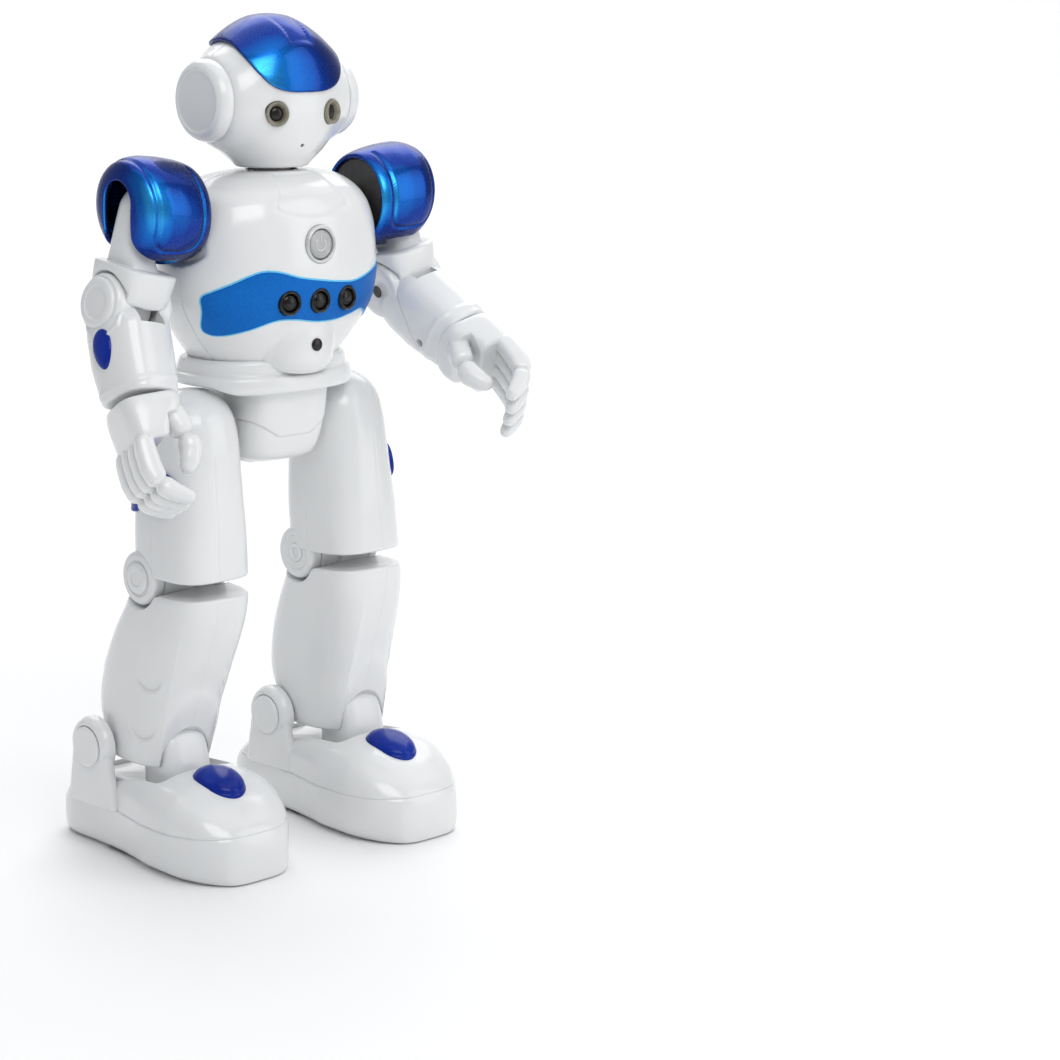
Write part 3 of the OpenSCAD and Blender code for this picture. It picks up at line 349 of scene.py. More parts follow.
# ear caps: a domed rim and a slightly recessed disc
for s, n in ((-1, "right"), (1, "left")):
    prof = rounded([(0,0.0),(12.35,0.0),(12.62,0.7),(12.45,2.6),(11.5,4.25),(10.3,5.0),(9.65,5.08),(9.35,4.72),(9.0,4.6),(0,4.75)], [0,.3,.5,1.2,1.2,.7,.3,.2,.2,0])
    prof[:,1] = np.minimum(prof[:,1], 5.1)
    add("ear_disc_"+n, turned(prof, [23.05,-6,239.6], [1,0,0], 160), "white_shell", "head", place(s), ["ear_cap_"+n])
# eyes
rings, lamps = [], []
for s in (-1, 1):
    O, A = eye_frame(s)
    rings.append(turned(rounded([(2.25,-2.2),(2.3,-1.0),(2.75,0.05),(3.3,0.62),(3.6,0.55),(3.78,0.05),(3.78,-2.2)], [0,.1,.3,.3,.3,.2,0]), O, A, 72))
    rgr = np.linspace(0, 2.35, 14); lamps.append(turned([(0,-3.4),(2.35,-3.4),(2.35,-1.35)]+[(2.3*math.cos(t), -1.3+1.0*math.sin(t)) for t in np.linspace(0.05, PI/2-0.02, 12)]+[(0,-0.3)], O, A, 72))
add("eye_rims", merge(*rings), "eye_ring", "head", replaces=["eye_rings"])
add("eye_domes", merge(*lamps), "black_lens", "head", replaces=["eye_lamps"])
# crest: a cover laid over the crown, mapped by direction from a point inside the head
CC = np.array([0,-6.0,240.0])
class Radial:
    def __call__(self, u, v, e=0.15):
        def pt(u, v):
            th = np.hypot(u, v)/22.0; al = np.arctan2(v, u)
            D = np.stack([np.sin(th)*np.cos(al), np.sin(th)*np.sin(al), np.cos(th)], -1)
            P = HEAD0.cast(CC, D); lift = 2.0*np.exp(-(th/0.62)**2)
            x, y = P[...,0], P[...,1]
            ridge = -0.45*sst((4.4-abs(x))/0.8)*sst((y+22.0)/1.0)*sst((-9.0-y)/6.0)
            return P+D*(lift+ridge)[...,None]
        P = pt(u, v); N = np.cross(pt(u+e, v)-pt(u-e, v), pt(u, v+e)-pt(u, v-e)); N /= np.linalg.norm(N, axis=-1)[...,None]+1e-12
        return P, N
CREST3 = [(0,-25.2,242.0),(5,-24.7,242.05),(9,-23.2,242.7),(11.8,-21.6,244.2),(13.9,-19.6,246.8),(15.6,-17.2,250.0),(16.6,-14.2,253.0),(16.4,-10.5,255.2),(15.6,-5,256.4),(14.8,2,256.6),(12.2,7.5,255.8),(7.0,10.6,254.8),(0,11.6,254.2)]
CREST3 = np.array(CREST3+[(-x,y,z) for x,y,z in CREST3[1:-1]][::-1], float)
D = CREST3-CC; D /= np.linalg.norm(D, axis=1)[:,None]; th = np.arccos(D[:,2])*22.0; al = np.arctan2(D[:,1], D[:,0])
CREST_UV = spl(np.c_[th*np.cos(al), th*np.sin(al)], 0.4)
add("crest", patch(Radial(), CREST_UV, [], 0.7, 0.5, 1.2, 0.95), "blue_metallic", "head", replaces=["crest_cover"])

# ------------------------------------------------------------------ torso
def torso_warp(P):
    P = P.copy(); x, y, z = P[...,0].copy(), P[...,1].copy(), P[...,2]
    # flat round recess behind each shoulder
    rho = np.hypot(y-SH[1], z-SH[2]); k = sst((rho-16.7)/0.9)
    P[...,0] = np.where(abs(x) > 33.4, np.sign(x)*(33.4+(abs(x)-33.4)*k), x)
    # lower front bulge, blended in
    dip = np.sqrt(np.maximum(1-(x/13.6)**2, 0))*sst((166.5-z)/6.8)*sst((-8-y)/3)
    z = z-4.7*dip; P[...,2] = z
    q = 1-(abs(x)/13.9)**2.3-(abs(z-165.2)/12.3)**3.6; ys = -14.0-13.6*np.sqrt(np.maximum(q, 0))
    P[...,1] = np.where((y < -8) & (q > 0), -smax(-y, -ys, 1.6), P[...,1])
    # shallow collar dent below the chin
    wx = 9.0+0.62*np.maximum(216.5-z, 0); c = sst((wx-abs(x))/1.3)*sst((z-203.8-0.012*x*x)/1.3)*sst((217.6-z)/1.0)
    P[...,1] += np.where(y < -12, 0.75*c, 0)
    return P
CH = Loft(TORSO, 33.0, torso_warp); CH0 = Loft(TORSO, 33.0)
def front_circle(cx, cz, r, n=72):
    t = np.linspace(0, 2*PI, n, endpoint=False); Q = np.c_[cx+r*np.cos(t), np.full(n, -60.0), cz+r*np.sin(t)]
    v = CH0.v_at(Q[:,2]); z, xc, yc, a, b, nn = CH0.row(v)
    y = yc-b*np.maximum(1-abs((Q[:,0]-xc)/a)**nn, 0)**(1/nn); return np.c_[np.arctan2(y-yc, Q[:,0]-xc)*33.0, v]
def back_circle(cx, cz, r, n=48, k=1.0):
    t = np.linspace(0, 2*PI, n, endpoint=False); X, Z = cx+r*np.cos(t)*k, cz+r*np.sin(t); return back_pts(X, Z)
def back_pts(X, Z):
    v = CH0.v_at(Z); z, xc, yc, a, b, nn = CH0.row(v); y = yc+b*np.maximum(1-abs((X-xc)/a)**nn, 0)**(1/nn)
    return np.c_[np.arctan2(y-yc, X-xc)*33.0, v]
fh = [front_circle(0, 195.9, 5.9)]+[front_circle(x, 178.5, 3.75) for x in (-11.4, 0, 11.4)]
add("chest_front", patch(CH, half_loop(CH, 0.05, CH.len-0.05, SPLIT, True), fh, 0.85, 0.3, 1.6), "white_shell", "torso", replaces=["chest_front_shell"])
def rrect(x0, x1, z0, z1, r, n=10):
    q = []
    for sx, sz, a0 in ((1,1,0),(-1,1,90),(-1,-1,180),(1,-1,270)):
        for a in np.radians(a0+np.linspace(0, 90, n)): q.append(((x0+x1)/2+sx*((x1-x0)/2-r)+r*math.cos(a), (z0+z1)/2+sz*((z1-z0)/2-r)+r*math.sin(a)))
    return resample(np.array(q), 0.4)
door = rrect(-24.2, 24.2, 172.8, 201.2, 3.0); door_in = rrect(-23.9, 23.9, 173.1, 200.9, 2.8)
bh = [back_pts(door[:,0], door[:,1]), back_circle(0, 167, 4.1)]+[back_circle(s*x, z, 2.7, 40) for s in (-1, 1) for x, z in ((26.5,172),(25.5,199))]
bh = [b for b in bh]
# the two lower screw wells would cut the door's corner, so the rear shell is cut only for the door and the socket, not
# for the screw wells
add("chest_rear", patch(CH, half_loop(CH, 0.05, CH.len-0.05, SPLIT, False), [bh[0], bh[1]], 0.85, 0.3, 1.6), "white_shell", "torso", replaces=["chest_back_shell"])
class DoorS:
    def __call__(self, u, v):
        P, N = CH(u, v); x, z = P[...,0], P[...,2]
        latch = sst((5.5-abs(x))/0.5)*sst((2.2-abs(z-196.5))/0.5)
        ribs = sst((15-abs(x))/0.4)*sum(sst((0.55-abs(z-zz))/0.35) for zz in (178.5, 181.0, 183.5))
        return P-N*(0.8*latch+0.35*ribs)[...,None], N
add("battery_lid", patch(DoorS(), back_pts(door_in[:,0], door_in[:,1]), [], 0.6, 0.3, 1.4), "white_shell", "torso", replaces=["battery_door"])
# screws in shallow cups set on the rear shell
def cross_screw(O, A, r, depth=0.5, s=1.0):
    cup = turned(rounded([(r*1.0,-0.4),(r*1.0,0.1),(r*1.16,0.28),(r*1.32,0.22),(r*1.4,-0.4)], [0,.05,.08,.08,0]), O, A, 48)
    head = turned(rounded([(0,-0.9),(r*0.93,-0.9),(r*0.93,-0.35),(r*0.6,-0.12),(0,-0.05)], [0,.1,.15,.1,0]), O, A, 40)
    return cup, head
SPQ = [(s*x, z) for s in (-1, 1) for x, z in ((26.5,172),(25.5,199))]
cups, heads = [], []
for x, z in SPQ:
    uv = back_pts(np.array([x]), np.array([z])); P, N = CH(uv[:,0], uv[:,1]); c, h_ = cross_screw(P[0], N[0], 2.3); cups.append(c); heads.append(h_)
add("screw_cups", merge(*cups), "white_shell", "torso")
add("screw_heads", merge(*heads), "steel", "torso", replaces=["torso_screws"])
# charging socket
P0 = np.array([0, 20.4, 167.0])
add("socket_ring", turned(rounded([(1.75,-8.9),(1.75,-0.5),(2.1,-0.1),(3.7,-0.1),(3.95,-0.4),(3.95,-9)], [0,.2,.2,.2,.2,0]), P0, [0,1,0], 64), "dark_plastic", "torso", replaces=["charge_socket"])
add("socket_pin", turned(rounded([(0,-9),(0.45,-9),(0.45,-1.6),(0.25,-1.2),(0,-1.15)], .1), P0, [0,1,0], 24), "steel", "torso")
# chest band: a film with a raised lip
BAND = [[-34.2,180.6],[-33.2,176],[-31.6,171.4],[-30,169.3],[-27.5,168.8],[-22,170.6],[-15,173.2],[-8,173.2],[0,172.0],[8,172.0],[15,173.2],[20,174.2],[24,172.8],[28,170.2],[30.6,169.3],[32.4,171.6],[34.2,176],
 [35.2,181],[34.9,186.0],[32.6,187.8],[29,187.0],[23,185.2],[15,183.5],[8,183.7],[0,184.7],[-8,186.0],[-15,188.0],[-20,188.5],[-24,187.4],[-29,184.8],[-32.6,182.6]]
def band_uv(B):
    B = spl(np.array(B), 0.5); v = CH0.v_at(B[:,1]); z, xc, yc, a, b, nn = CH0.row(v)
    xx = np.clip(B[:,0], -a*0.992, a*0.992); y = yc-b*np.maximum(1-abs(xx/a)**nn, 0)**(1/nn); return np.c_[np.arctan2(y-yc, xx)*33.0, v]
buv = band_uv(BAND); sh = [front_circle(x, 178.5, 3.85) for x in (-11.4, 0, 11.4)]
add("chest_film", patch(CH, buv, sh, 0.8, 0.25, 0.6, 0.32), "chest_film", "torso", replaces=["chest_band"])
bo = inset(resample(buv, 0.45) if area2(buv) > 0 else resample(buv[::-1], 0.45), -0.5); bi = inset(resample(buv, 0.45) if area2(buv) > 0 else resample(buv[::-1], 0.45), 0.25)
add("chest_film_edge", patch(CH, bo, [bi], 0.5, 0.12, 0.4, 0.16), "chest_film", "torso", mat="chest_edge")
# infrared domes and receiver
dm = []
for x in (-11.4, 0, 11.4):
    y = -29.4 if x == 0 else -28.75; O = np.array([x, y, 178.5]); A = np.array([0.012*x,-1,0])
    dm.append(turned(rounded([(2.75,-1.6),(2.75,0.15),(2.95,0.75),(3.3,1.0),(3.65,0.85),(3.9,0.35),(3.9,-1.2)], [0,.15,.25,.3,.3,.2,0]), O, A, 80))
    dm.append(turned([(0,-2.4),(2.74,-2.4),(2.74,-0.5)]+[(2.74*math.cos(t), -0.45+1.25*math.sin(t)) for t in np.linspace(0.05, PI/2-0.03, 12)]+[(0,0.8)], O, A, 72))
    dm.append(turned(rounded([(1.5,0.45),(1.62,0.72),(1.86,0.66),(1.95,0.3)], .05), O, A, 48))
dm.append(turned([(0,-3.0),(2.0,-3.0),(2.0,-0.3)]+[(2.0*math.cos(t), -0.25+0.45*math.sin(t)) for t in np.linspace(0.05, PI/2-0.03, 10)]+[(0,0.2)], [0,-28.1,164.6], [0,-1,0.02], 64))
add("ir_domes", merge(*dm), "black_lens", "torso", replaces=["infrared_lenses"])
# button bezel and button
BO = np.array([0,-29.6,195.9])
add("button_rim", turned(rounded([(4.72,-1.2),(4.75,0.9),(5.0,1.35),(5.35,1.5),(5.7,1.25),(5.88,0.8),(5.88,-1.2)], [0,.2,.3,.3,.3,.2,0]), BO, [0,-1,0], 96), "silver_button", "torso", replaces=["button_bezel"], mat="button_rim")
btn = turned(rounded([(0,-3),(4.55,-3),(4.55,0.55),(4.2,0.95),(3.9,1.0),(3.75,0.86),(0,0.92)], [0,.1,.3,.2,.1,.1,0]), BO, [0,-1,0], 96)
add("button_disc", btn, "silver_button", "power_button", replaces=["power_button"])
t0 = np.radians(np.linspace(125, 415, 60)); arc = np.array([(1.95*math.cos(t), 1.95*math.sin(t)) for t in t0])
def ribbon(path, w, closed=False):
    T = np.gradient(path, axis=0); T /= np.linalg.norm(T, axis=1)[:,None]; Nn = np.c_[-T[:,1], T[:,0]]
    return np.vstack([path+Nn*w/2, (path-Nn*w/2)[::-1]])
def flat_solid(loop2, O, ax, ay, n0, d0, d1):
    P = np.array([[np.asarray(O)+p[0]*np.asarray(ax)+p[1]*np.asarray(ay)+np.asarray(n0)*d for p in loop2] for d in (d0, d1)]); m = len(loop2)
    tri = delaunay_2d_cdt([Vector(p) for p in loop2.tolist()], [(i, (i+1) % m) for i in range(m)], [], 1, 1e-7)
    ids = [o[0] if len(o) else 0 for o in tri[3]]; F = [tuple(ids[i] for i in f) for f in tri[2]]
    return P.reshape(-1,3), grid_faces(2, m)+[f for f in F]+[tuple(i+m for i in f[::-1]) for f in F]
sym = merge(flat_solid(resample(ribbon(arc, 0.55), 0.2), BO, [1,0,0], [0,0,1], [0,-1,0], 0.6, 1.0), flat_solid(resample(ribbon(np.array([(0,0.5+0.2*i) for i in range(12)]), 0.55), 0.2), BO, [1,0,0], [0,0,1], [0,-1,0], 0.6, 1.0))
add("button_symbol", sym, "silver_button", "power_button", mat="symbol")
# waist and pelvis
def belt_disp(P, N):
    return 0.08*np.exp(-((P[...,2]-157.2)/0.5)**2)
def belt_warp(P):
    P = P.copy(); P[...,2] = P[...,2]-2.3*sst((-8-P[...,1])/9)*sst((156.2-P[...,2])/4); return P
add("waist_collar", body_loft(BELT, 320, 0.35, 0.7, 0.6, belt_disp, belt_warp), "white_shell", "torso", replaces=["waist_ring"])
VL = np.array([[-16.5,141.0],[-7.2,135.2],[-6.0,134.6],[6.0,134.6],[7.2,135.2],[16.5,141.0]])
def pel_disp(P, N):
    x, y, z = P[...,0], P[...,1], P[...,2]; d = seg_dist(np.stack([x, z], -1), VL)
    g = -0.38*np.exp(-(d/0.22)**2)*(abs(y) > 6); step = -0.3*sst((134.7+np.maximum(abs(x)-6, 0)*0.62-z)/0.5)*(y < -5)
    return g+step-0.3*np.exp(-((y+1)/0.2)**2)*(abs(x) > 9)
def pel_warp(P):
    P = P.copy(); P[...,1] = np.where(P[...,1] < 0, P[...,1]*(1-0.0*P[...,1]), P[...,1]); return P
add("pelvis_body", body_loft(PELVIS, 320, 0.25, 2.2, 0.3, pel_disp, pel_warp), "white_shell", "torso", replaces=["pelvis_front_shell", "pelvis_back_shell"])

# ------------------------------------------------------------------ arms
def dome(loop, O, ax, ay, an, height, base=1.0, rise=0.35):
    """A domed button over a flat outline."""
    loop = np.asarray(loop, float); c = loop.mean(0); O = np.asarray(O, float); ax, ay, an = map(lambda v: np.asarray(v, float), (ax, ay, an))
    rows = [(1.0,-base),(1.0,0.0),(0.992,rise*0.55),(0.975,rise*0.85),(0.95,rise)]+[(0.95*math.cos(t), rise+(height-rise)*math.sin(t)) for t in np.linspace(0.12, PI/2-0.03, 14)]
    P = np.array([[O+(c+(p-c)*s)[0]*ax+(c+(p-c)*s)[1]*ay+an*h for p in loop] for s, h in rows]); n = len(loop)
    V = np.vstack([P.reshape(-1,3), O+c[0]*ax+c[1]*ay+an*height]); R = len(rows)
    return V, grid_faces(R, n)+[((R-1)*n+j, (R-1)*n+(j+1) % n, R*n) for j in range(n)]+[tuple(range(n))[::-1]]

CP = np.array([[0,12.4],[5,12.25],[9.4,11.8],[12.4,10.7],[14.4,9.0],[15.7,6.6],[16.4,3],[16.35,-1],[15.9,-6],[15.2,-10],[14.3,-12.5],[13.5,-13.2]])
CS = np.r_[0, np.cumsum(np.linalg.norm(np.diff(CP, axis=0), axis=1))]; SMAX = CS[-1]
UPATH = spl([(7.6,29),(7.6,10),(7.6,-3),(7.3,-7.2),(5.2,-10.2),(0,-10.8),(-5.6,-10.6),(-8.0,-8.4),(-8.9,-4),(-8.9,6),(-8.9,20)], 0.8, False)
class Cowl:
    def raw(self, p, q):
        s = np.clip(np.hypot(p, q), 0, SMAX); ps = np.arctan2(q, p); r = pchip(CS, CP[:,0], s); x = pchip(CS, CP[:,1], s)
        y, z = r*np.cos(ps), r*np.sin(ps)
        f = np.stack([x, 16.3*np.arctan2(z, abs(y))], -1); d = seg_dist(f, UPATH)
        g = -0.5*np.exp(-(d/0.62)**4)*(r > 6)
        k = 1+g/np.maximum(r, 1)
        z = z*k; y = y*k
        return np.stack([x+0.05*z*sst((x-2)/8), y, z+0.075*(x+1)], -1)
    def __call__(self, p, q, e=0.05):
        P = self.raw(p, q); N = np.cross(self.raw(p+e, q)-self.raw(p-e, q), self.raw(p, q+e)-self.raw(p, q-e)); N /= np.linalg.norm(N, axis=-1)[...,None]+1e-12
        return P, N
def cowl_window():
    face = [(6.6*math.cos(t), 2.2+6.6*math.sin(t)) for t in np.radians(np.linspace(0, 180, 40))]
    sr = np.linspace(0, CS[6], 400); rr = pchip(CS, CP[:,0], sr)
    def at_face(y, z): r = math.hypot(y, z); s = float(np.interp(r, rr, sr)); a = math.atan2(z, y); return (s*math.cos(a), s*math.sin(a))
    pts = [at_face(y, z) for y, z in face]
    sideL = []
    for s in np.linspace(7.4, float(np.interp(6.6, -CP[:,1], CS)), 60):
        r, x = float(pchip(CS, CP[:,0], np.array([s]))[0]), float(pchip(CS, CP[:,1], np.array([s]))[0])
        y = 6.6; 
        for _ in range(6): z = -math.sqrt(max(r*r-y*y, 0.0)); y = 6.6+2.6*float(sst(np.array((-z-7)/8.0)))-1.2*float(sst(np.array((-x-2)/5.0)))
        a = math.atan2(z, -y); sideL.append((s*math.cos(a), s*math.sin(a)))
    sideR = [(-p, q) for p, q in sideL][::-1]
    return resample(np.array(pts+sideL+sideR), 0.5)
COWL_VF = patch(Cowl(), np.array([(SMAX*math.cos(t), SMAX*math.sin(t)) for t in np.linspace(0, 2*PI, 420, endpoint=False)]), [cowl_window()], 0.6, 0.45, 1.7)

CUFF = [[-30,0,0,9.7,10.3,3.3],[-26,0,0,10.3,10.9,3.4],[-18.6,0,0,10.7,11.2,3.4],[-17.3,0,0,10.2,10.7,3.2]]
def cuff_warp(P):
    P = P.copy(); x, y, z = P[...,0], P[...,1], P[...,2]
    arch = -30+np.sqrt(np.maximum(9.9**2-y**2, 0)); lo = np.where(abs(x) > 7.8, np.maximum(arch, -27.9), -27.9)
    lo = np.maximum(lo, -28.0)-0.9*sst(1-abs(x)/9.5)*(abs(y) > 8)
    t = (z+17.3)/(-30+17.3); P[...,2] = np.where(t > 0, -17.3+t*(lo+17.3), z); return P
STEM = [[-19,0,0,8.6,9.4,3.2],[-17.7,0.7,0,7.4,8.4,3.2],[-16.6,1.5,0,6.2,7.6,3.2],[-14.2,2.3,0,6.1,6.4,3.2],[-11,2.6,0,6.5,5.6,3.2],[0,2.6,0,6.8,5.4,3],[3.4,2.6,0,6.2,4.7,2.6],[5.6,2.3,0,4.6,3.3,2.3],[6.5,2.0,0,2.2,1.6,2],[6.7,2.0,0,0.5,0.4,2]]
def crease(P, N):
    y, z, x = P[...,1], P[...,2], P[...,0]
    d = seg_dist(np.stack([y, z], -1), np.array([[-7.5,-3.5],[-4.2,-8.5],[2.5,-17.5],[6.5,-22.5]])); a = -0.35*np.exp(-(d/0.3)**2)*(x < -8)
    d2 = seg_dist(np.stack([y, z], -1), np.array([[-8.6,-1],[-6.2,-9.5],[-1,-11.8],[5,-11],[8.4,-3]])); b = 0.5*sst((0.9-d2)/0.9)*(x > 8)
    ridge = 0.28*np.exp(-((z+26.2+0.12*x)/0.9)**2)
    return a+b+ridge
TEAR = np.array([(4.6*math.sin(t)*(0.9+0.13*math.cos(t)), 6.5*math.cos(t)-0.4) for t in np.linspace(0, 2*PI, 90, endpoint=False)])

def sweep(path, y0, hw, th, n=3.4, m=40):
    """A rounded bar along a path of (x, z) with half width hw in y and half thickness th."""
    P = np.asarray(path, float); k = len(P); s = np.r_[0, np.cumsum(np.linalg.norm(np.diff(P, axis=0), axis=1))]
    si = np.linspace(0, s[-1], int(s[-1]/0.5)+6); Q = np.stack([pchip(s, P[:,0], si), pchip(s, P[:,1], si)], 1)
    T = np.gradient(Q, axis=0); T /= np.linalg.norm(T, axis=1)[:,None]; Nn = np.c_[T[:,1], -T[:,0]]
    hwi, thi = np.interp(si/s[-1], np.linspace(0, 1, len(hw)), hw), np.interp(si/s[-1], np.linspace(0, 1, len(th)), th)
    e0 = np.minimum(si, s[-1]-si); rr = np.minimum(hwi, thi)*0.85; f = np.where(e0 < rr, np.sqrt(np.maximum(1-((rr-e0)/rr)**2, 0.02)), 1)
    a = np.linspace(0, 2*PI, m, endpoint=False); c, sn = np.cos(a), np.sin(a); r = (abs(c)**n+abs(sn)**n)**(-1/n)
    X = Q[:,0][:,None]+Nn[:,0][:,None]*(thi*f)[:,None]*(r*c); Z = Q[:,1][:,None]+Nn[:,1][:,None]*(thi*f)[:,None]*(r*c); Y = y0+(hwi*f)[:,None]*(r*sn)
    return capped(np.stack([X, Y, Z], -1))
def remeshed(name, parts, where, voxel=0.26, smooth=5):
    ob = mesh(name, *merge(*parts))
    md = ob.modifiers.new("r", "REMESH"); md.mode = "VOXEL"; md.voxel_size = voxel/1000; md.use_smooth_shade = True
    ms = ob.modifiers.new("s", "SMOOTH"); ms.factor = 0.5; ms.iterations = smooth
    dg = bpy.context.evaluated_depsgraph_get(); new = bpy.data.meshes.new_from_object(ob.evaluated_get(dg)); bpy.data.objects.remove(ob)
    V = np.empty(len(new.vertices)*3); new.vertices.foreach_get("co", V); V = V.reshape(-1,3)*1000-[OX, OY, 0]
    return V, [tuple(p.vertices) for p in new.polygons]
PALM1 = [[-14.6,2.9,0,5.4,11.9,5],[-11,2.5,0,6.3,12.2,5],[-8.2,1.2,0,8.0,12.2,5],[-4,0.3,0,9.4,11.8,4.6],[-0.6,0,0,9.7,11.0,3.6]]
def palm_parts():
    L = Loft(PALM1, 30.0); v = np.linspace(0, L.len, 44); u = np.linspace(-PI, PI, 160, endpoint=False)*30; U, V = np.meshgrid(u, v); P, N = L(U, V)
    q = np.clip(1.2-np.minimum(V, L.len-V), 0, 1.2); P = P-N*[1,1,0]*(1.2-np.sqrt(1.44-q*q))[...,None]
    x = P[...,0]; hollow = sst((-P[...,2]-7.2)/0.8); P[...,0] = np.where(x < -2.4, x*(1-hollow)+(-2.4)*hollow, x)
    out = [capped(P)]
    for i in range(4):
        y = -9.25+6.17*i; d = 0.5*abs(i-1.2)
        out.append(sweep([(5.6,-12.6),(6.35,-17),(6.2,-22),(5.2,-26.6),(4.3,-28.6+0.4*d)], y, [2.75,2.98,3.0,2.95], [2.6,3.1,3.2,2.9]))
        out.append(sweep([(4.9,-27.6+0.4*d),(2.0,-30.9+0.6*d),(-1.8,-33.6+0.9*d),(-4.9,-35.2+1.0*d)], y, [2.95,2.9,2.6,2.1], [3.0,2.9,2.4,1.6], 2.8))
    out.append(sweep([(-5.0,-4.5),(-7.0,-9.5),(-8.4,-14.6)], -5.6, [4.0,4.1,3.9], [3.6,3.7,3.5], 2.8))
    out.append(sweep([(-8.7,-14.0),(-8.9,-17.5),(-7.6,-21.8),(-5.0,-25.8)], -6.0, [3.75,3.7,3.1,2.0], [3.3,3.5,3.0,1.8], 2.5))
    out.append(sweep([(-1.0,-8.0),(-0.8,-12.5)], 0.6, [9.5,9.6], [2.0,1.6], 4))
    out.append(turned(rounded([(0,-1.5),(3,-1.5),(3,6.3),(0,6.4)], .3), [0,0,0], [0,0,1], 40))
    return out
HAND_VF = remeshed("hand_tmp", palm_parts(), HERE)

for s, n in ((-1, "right"), (1, "left")):
    w = arm(s, "cowl")
    add("cowl_"+n, COWL_VF, "blue_metallic", n+"_shoulder", w, ["shoulder_cowl_"+n])
    add("cowl_shaft_"+n, merge(turned(rounded([(0,-26.4),(4.6,-26.4),(4.6,-24.9),(3,-24.8),(3,-11.6),(0,-11.5)], .2), [0,0,0], [1,0,0], 64),
        turned(rounded([(0,-11.7),(13.0,-11.7),(13.0,-10.5),(0,-10.4)], .3), [0,0,0], [1,0,0], 96)), "dark_plastic", n+"_shoulder", w)
    w = arm(s, "upper")
    st = body_loft(STEM, 160, 0.4, 0.0, 0.0); cf = body_loft(CUFF, 320, 0.3, 0.9, 0.9, None, cuff_warp)
    add("upper_arm_shell_"+n, merge(st, cf, turned(rounded([(0,-8.7),(2,-8.7),(2,8.7),(0,8.7)], .3), [0,0,0], [0,1,0], 40),
        turned(rounded([(0,-4.1),(7.1,-4.1),(7.1,4.1),(0,4.1)], .4), [0,0,-30], [1,0,0], 64)), "white_shell", n+"_upper_arm", w, ["upper_arm_"+n])
    w = arm(s, "fore")
    fo = mesh("forearm_body_"+n, *body_loft(FORE, 260, 0.35, 1.0, 1.6, crease), w)
    cut(fo, [hole([-11.5,4.0,-22.5], [-1,0.25,0], 1.35, 3.6, 4, w), (*box_solid(-4.6,4.6,-16,8,-9,4,0.8), w)])
    PARTS.append((fo, "white_shell", n+"_forearm", ["forearm_shell_"+n], None))
    hub = [turned(rounded([(4.6 if k < 0 else 4.6,0)]*0+[(1.55,x0),(9.2,x0),(9.3,x0+0.4),(9.3,x1-1.2),(8.6,x1),(1.55,x1)], [0,.3,.3,.9,.9,0]), [0,0,0], [k,0,0], 96) for k, x0, x1 in ((1,4.6,10.6),(-1,4.6,10.8))]
    hub.append(turned(rounded([(0,10.2),(7.75,10.2),(7.8,11.3),(7.0,12.0),(5.2,12.15),(4.9,11.8),(4.4,11.75),(0,12.0)], [0,.1,.6,.6,.2,.2,.2,0]), [0,0,0], [1,0,0], 96))
    add("elbow_hub_"+n, merge(*hub), "white_shell", n+"_forearm", w)
    add("elbow_hole_"+n, turned(rounded([(0,10.5),(2.0,10.5),(2.0,10.86),(1.7,10.9),(0,10.7)], .05), [0,0,0], [-1,0,0], 40), "dark_plastic", n+"_forearm", w)
    add("forearm_oval_"+n, dome(TEAR, [10.7,0.8,-14.2], [0,1,0], [0,0,1], [1,0,0], 1.75, 1.2, 0.5), "navy_gloss", n+"_forearm", w, ["forearm_button_"+n])
    add("hand_shell_"+n, HAND_VF, "white_shell", n+"_hand", arm(s, "hand"), ["hand_"+n])

# ------------------------------------------------------------------ legs
TH = Loft(THIGH, 15.0)
TRIM = spl([(15.6,117.6),(14.2,122.6),(9,126.3),(1,127.9),(-7,126.9),(-11.3,124),(-13,119.5),(-11.2,115.6),(-6.5,113.2),(-2,113.7),(2.8,115.2),(5.4,113.9),(8.2,112.3),(12.3,112),(15,114.2)], 0.5)
def trim_uv(Q):
    v = TH.v_at(Q[:,1]); z, xc, yc, a, b, n = TH.row(v); y = np.clip(Q[:,0], yc-0.97*b, yc+0.985*b); x = a*np.maximum(1-abs((y-yc)/b)**n, 1e-6)**(1/n)
    return np.c_[np.arctan2(y-yc, x)*15.0, v]
TRIM_VF = patch(TH, trim_uv(TRIM), [], 0.6, 0.7, 1.6, 1.45)
def thigh_disp(P, N):
    x, y, z = P[...,0], P[...,1], P[...,2]
    return -0.14*np.exp(-((x-32.5)/0.22)**2)*(y < -8)*sst((134-z)/4) - 0.16*np.exp(-((y+0.8)/0.25)**2)*(abs(x-30.4) > 9)*sst((112-z)/3)
def shin_warp(P):
    P = P.copy(); x, y, z = P[...,0].copy(), P[...,1].copy(), P[...,2].copy()
    lo = 31+12.0*np.sqrt(np.maximum(1-((x-34.6)/9.4)**2, 0))*sst((3-y)/5)
    P[...,2] = 87.4-(87.4-z)*(87.4-lo)/(87.4-31)
    z = P[...,2]; rho = np.hypot(y-KNEE[0], z-KNEE[1]); k = sst((rho-9.25)/0.6); d = x-30.75
    P[...,0] = np.where(abs(d) > 9.9, 30.75+np.sign(d)*(9.9+(abs(d)-9.9)*k), x); return P
def dent(y, z, cy, cz, ry, rz, depth):
    r = np.hypot((y-cy)/ry, (z-cz)/rz); lip = np.exp(-((r-1)/0.13)**2); return -depth*sst((1.02-r)/0.22)*sst((cz+0.35*rz-z)/(1.2*rz))+0.2*lip*sst((cz-z)/(0.7*rz))
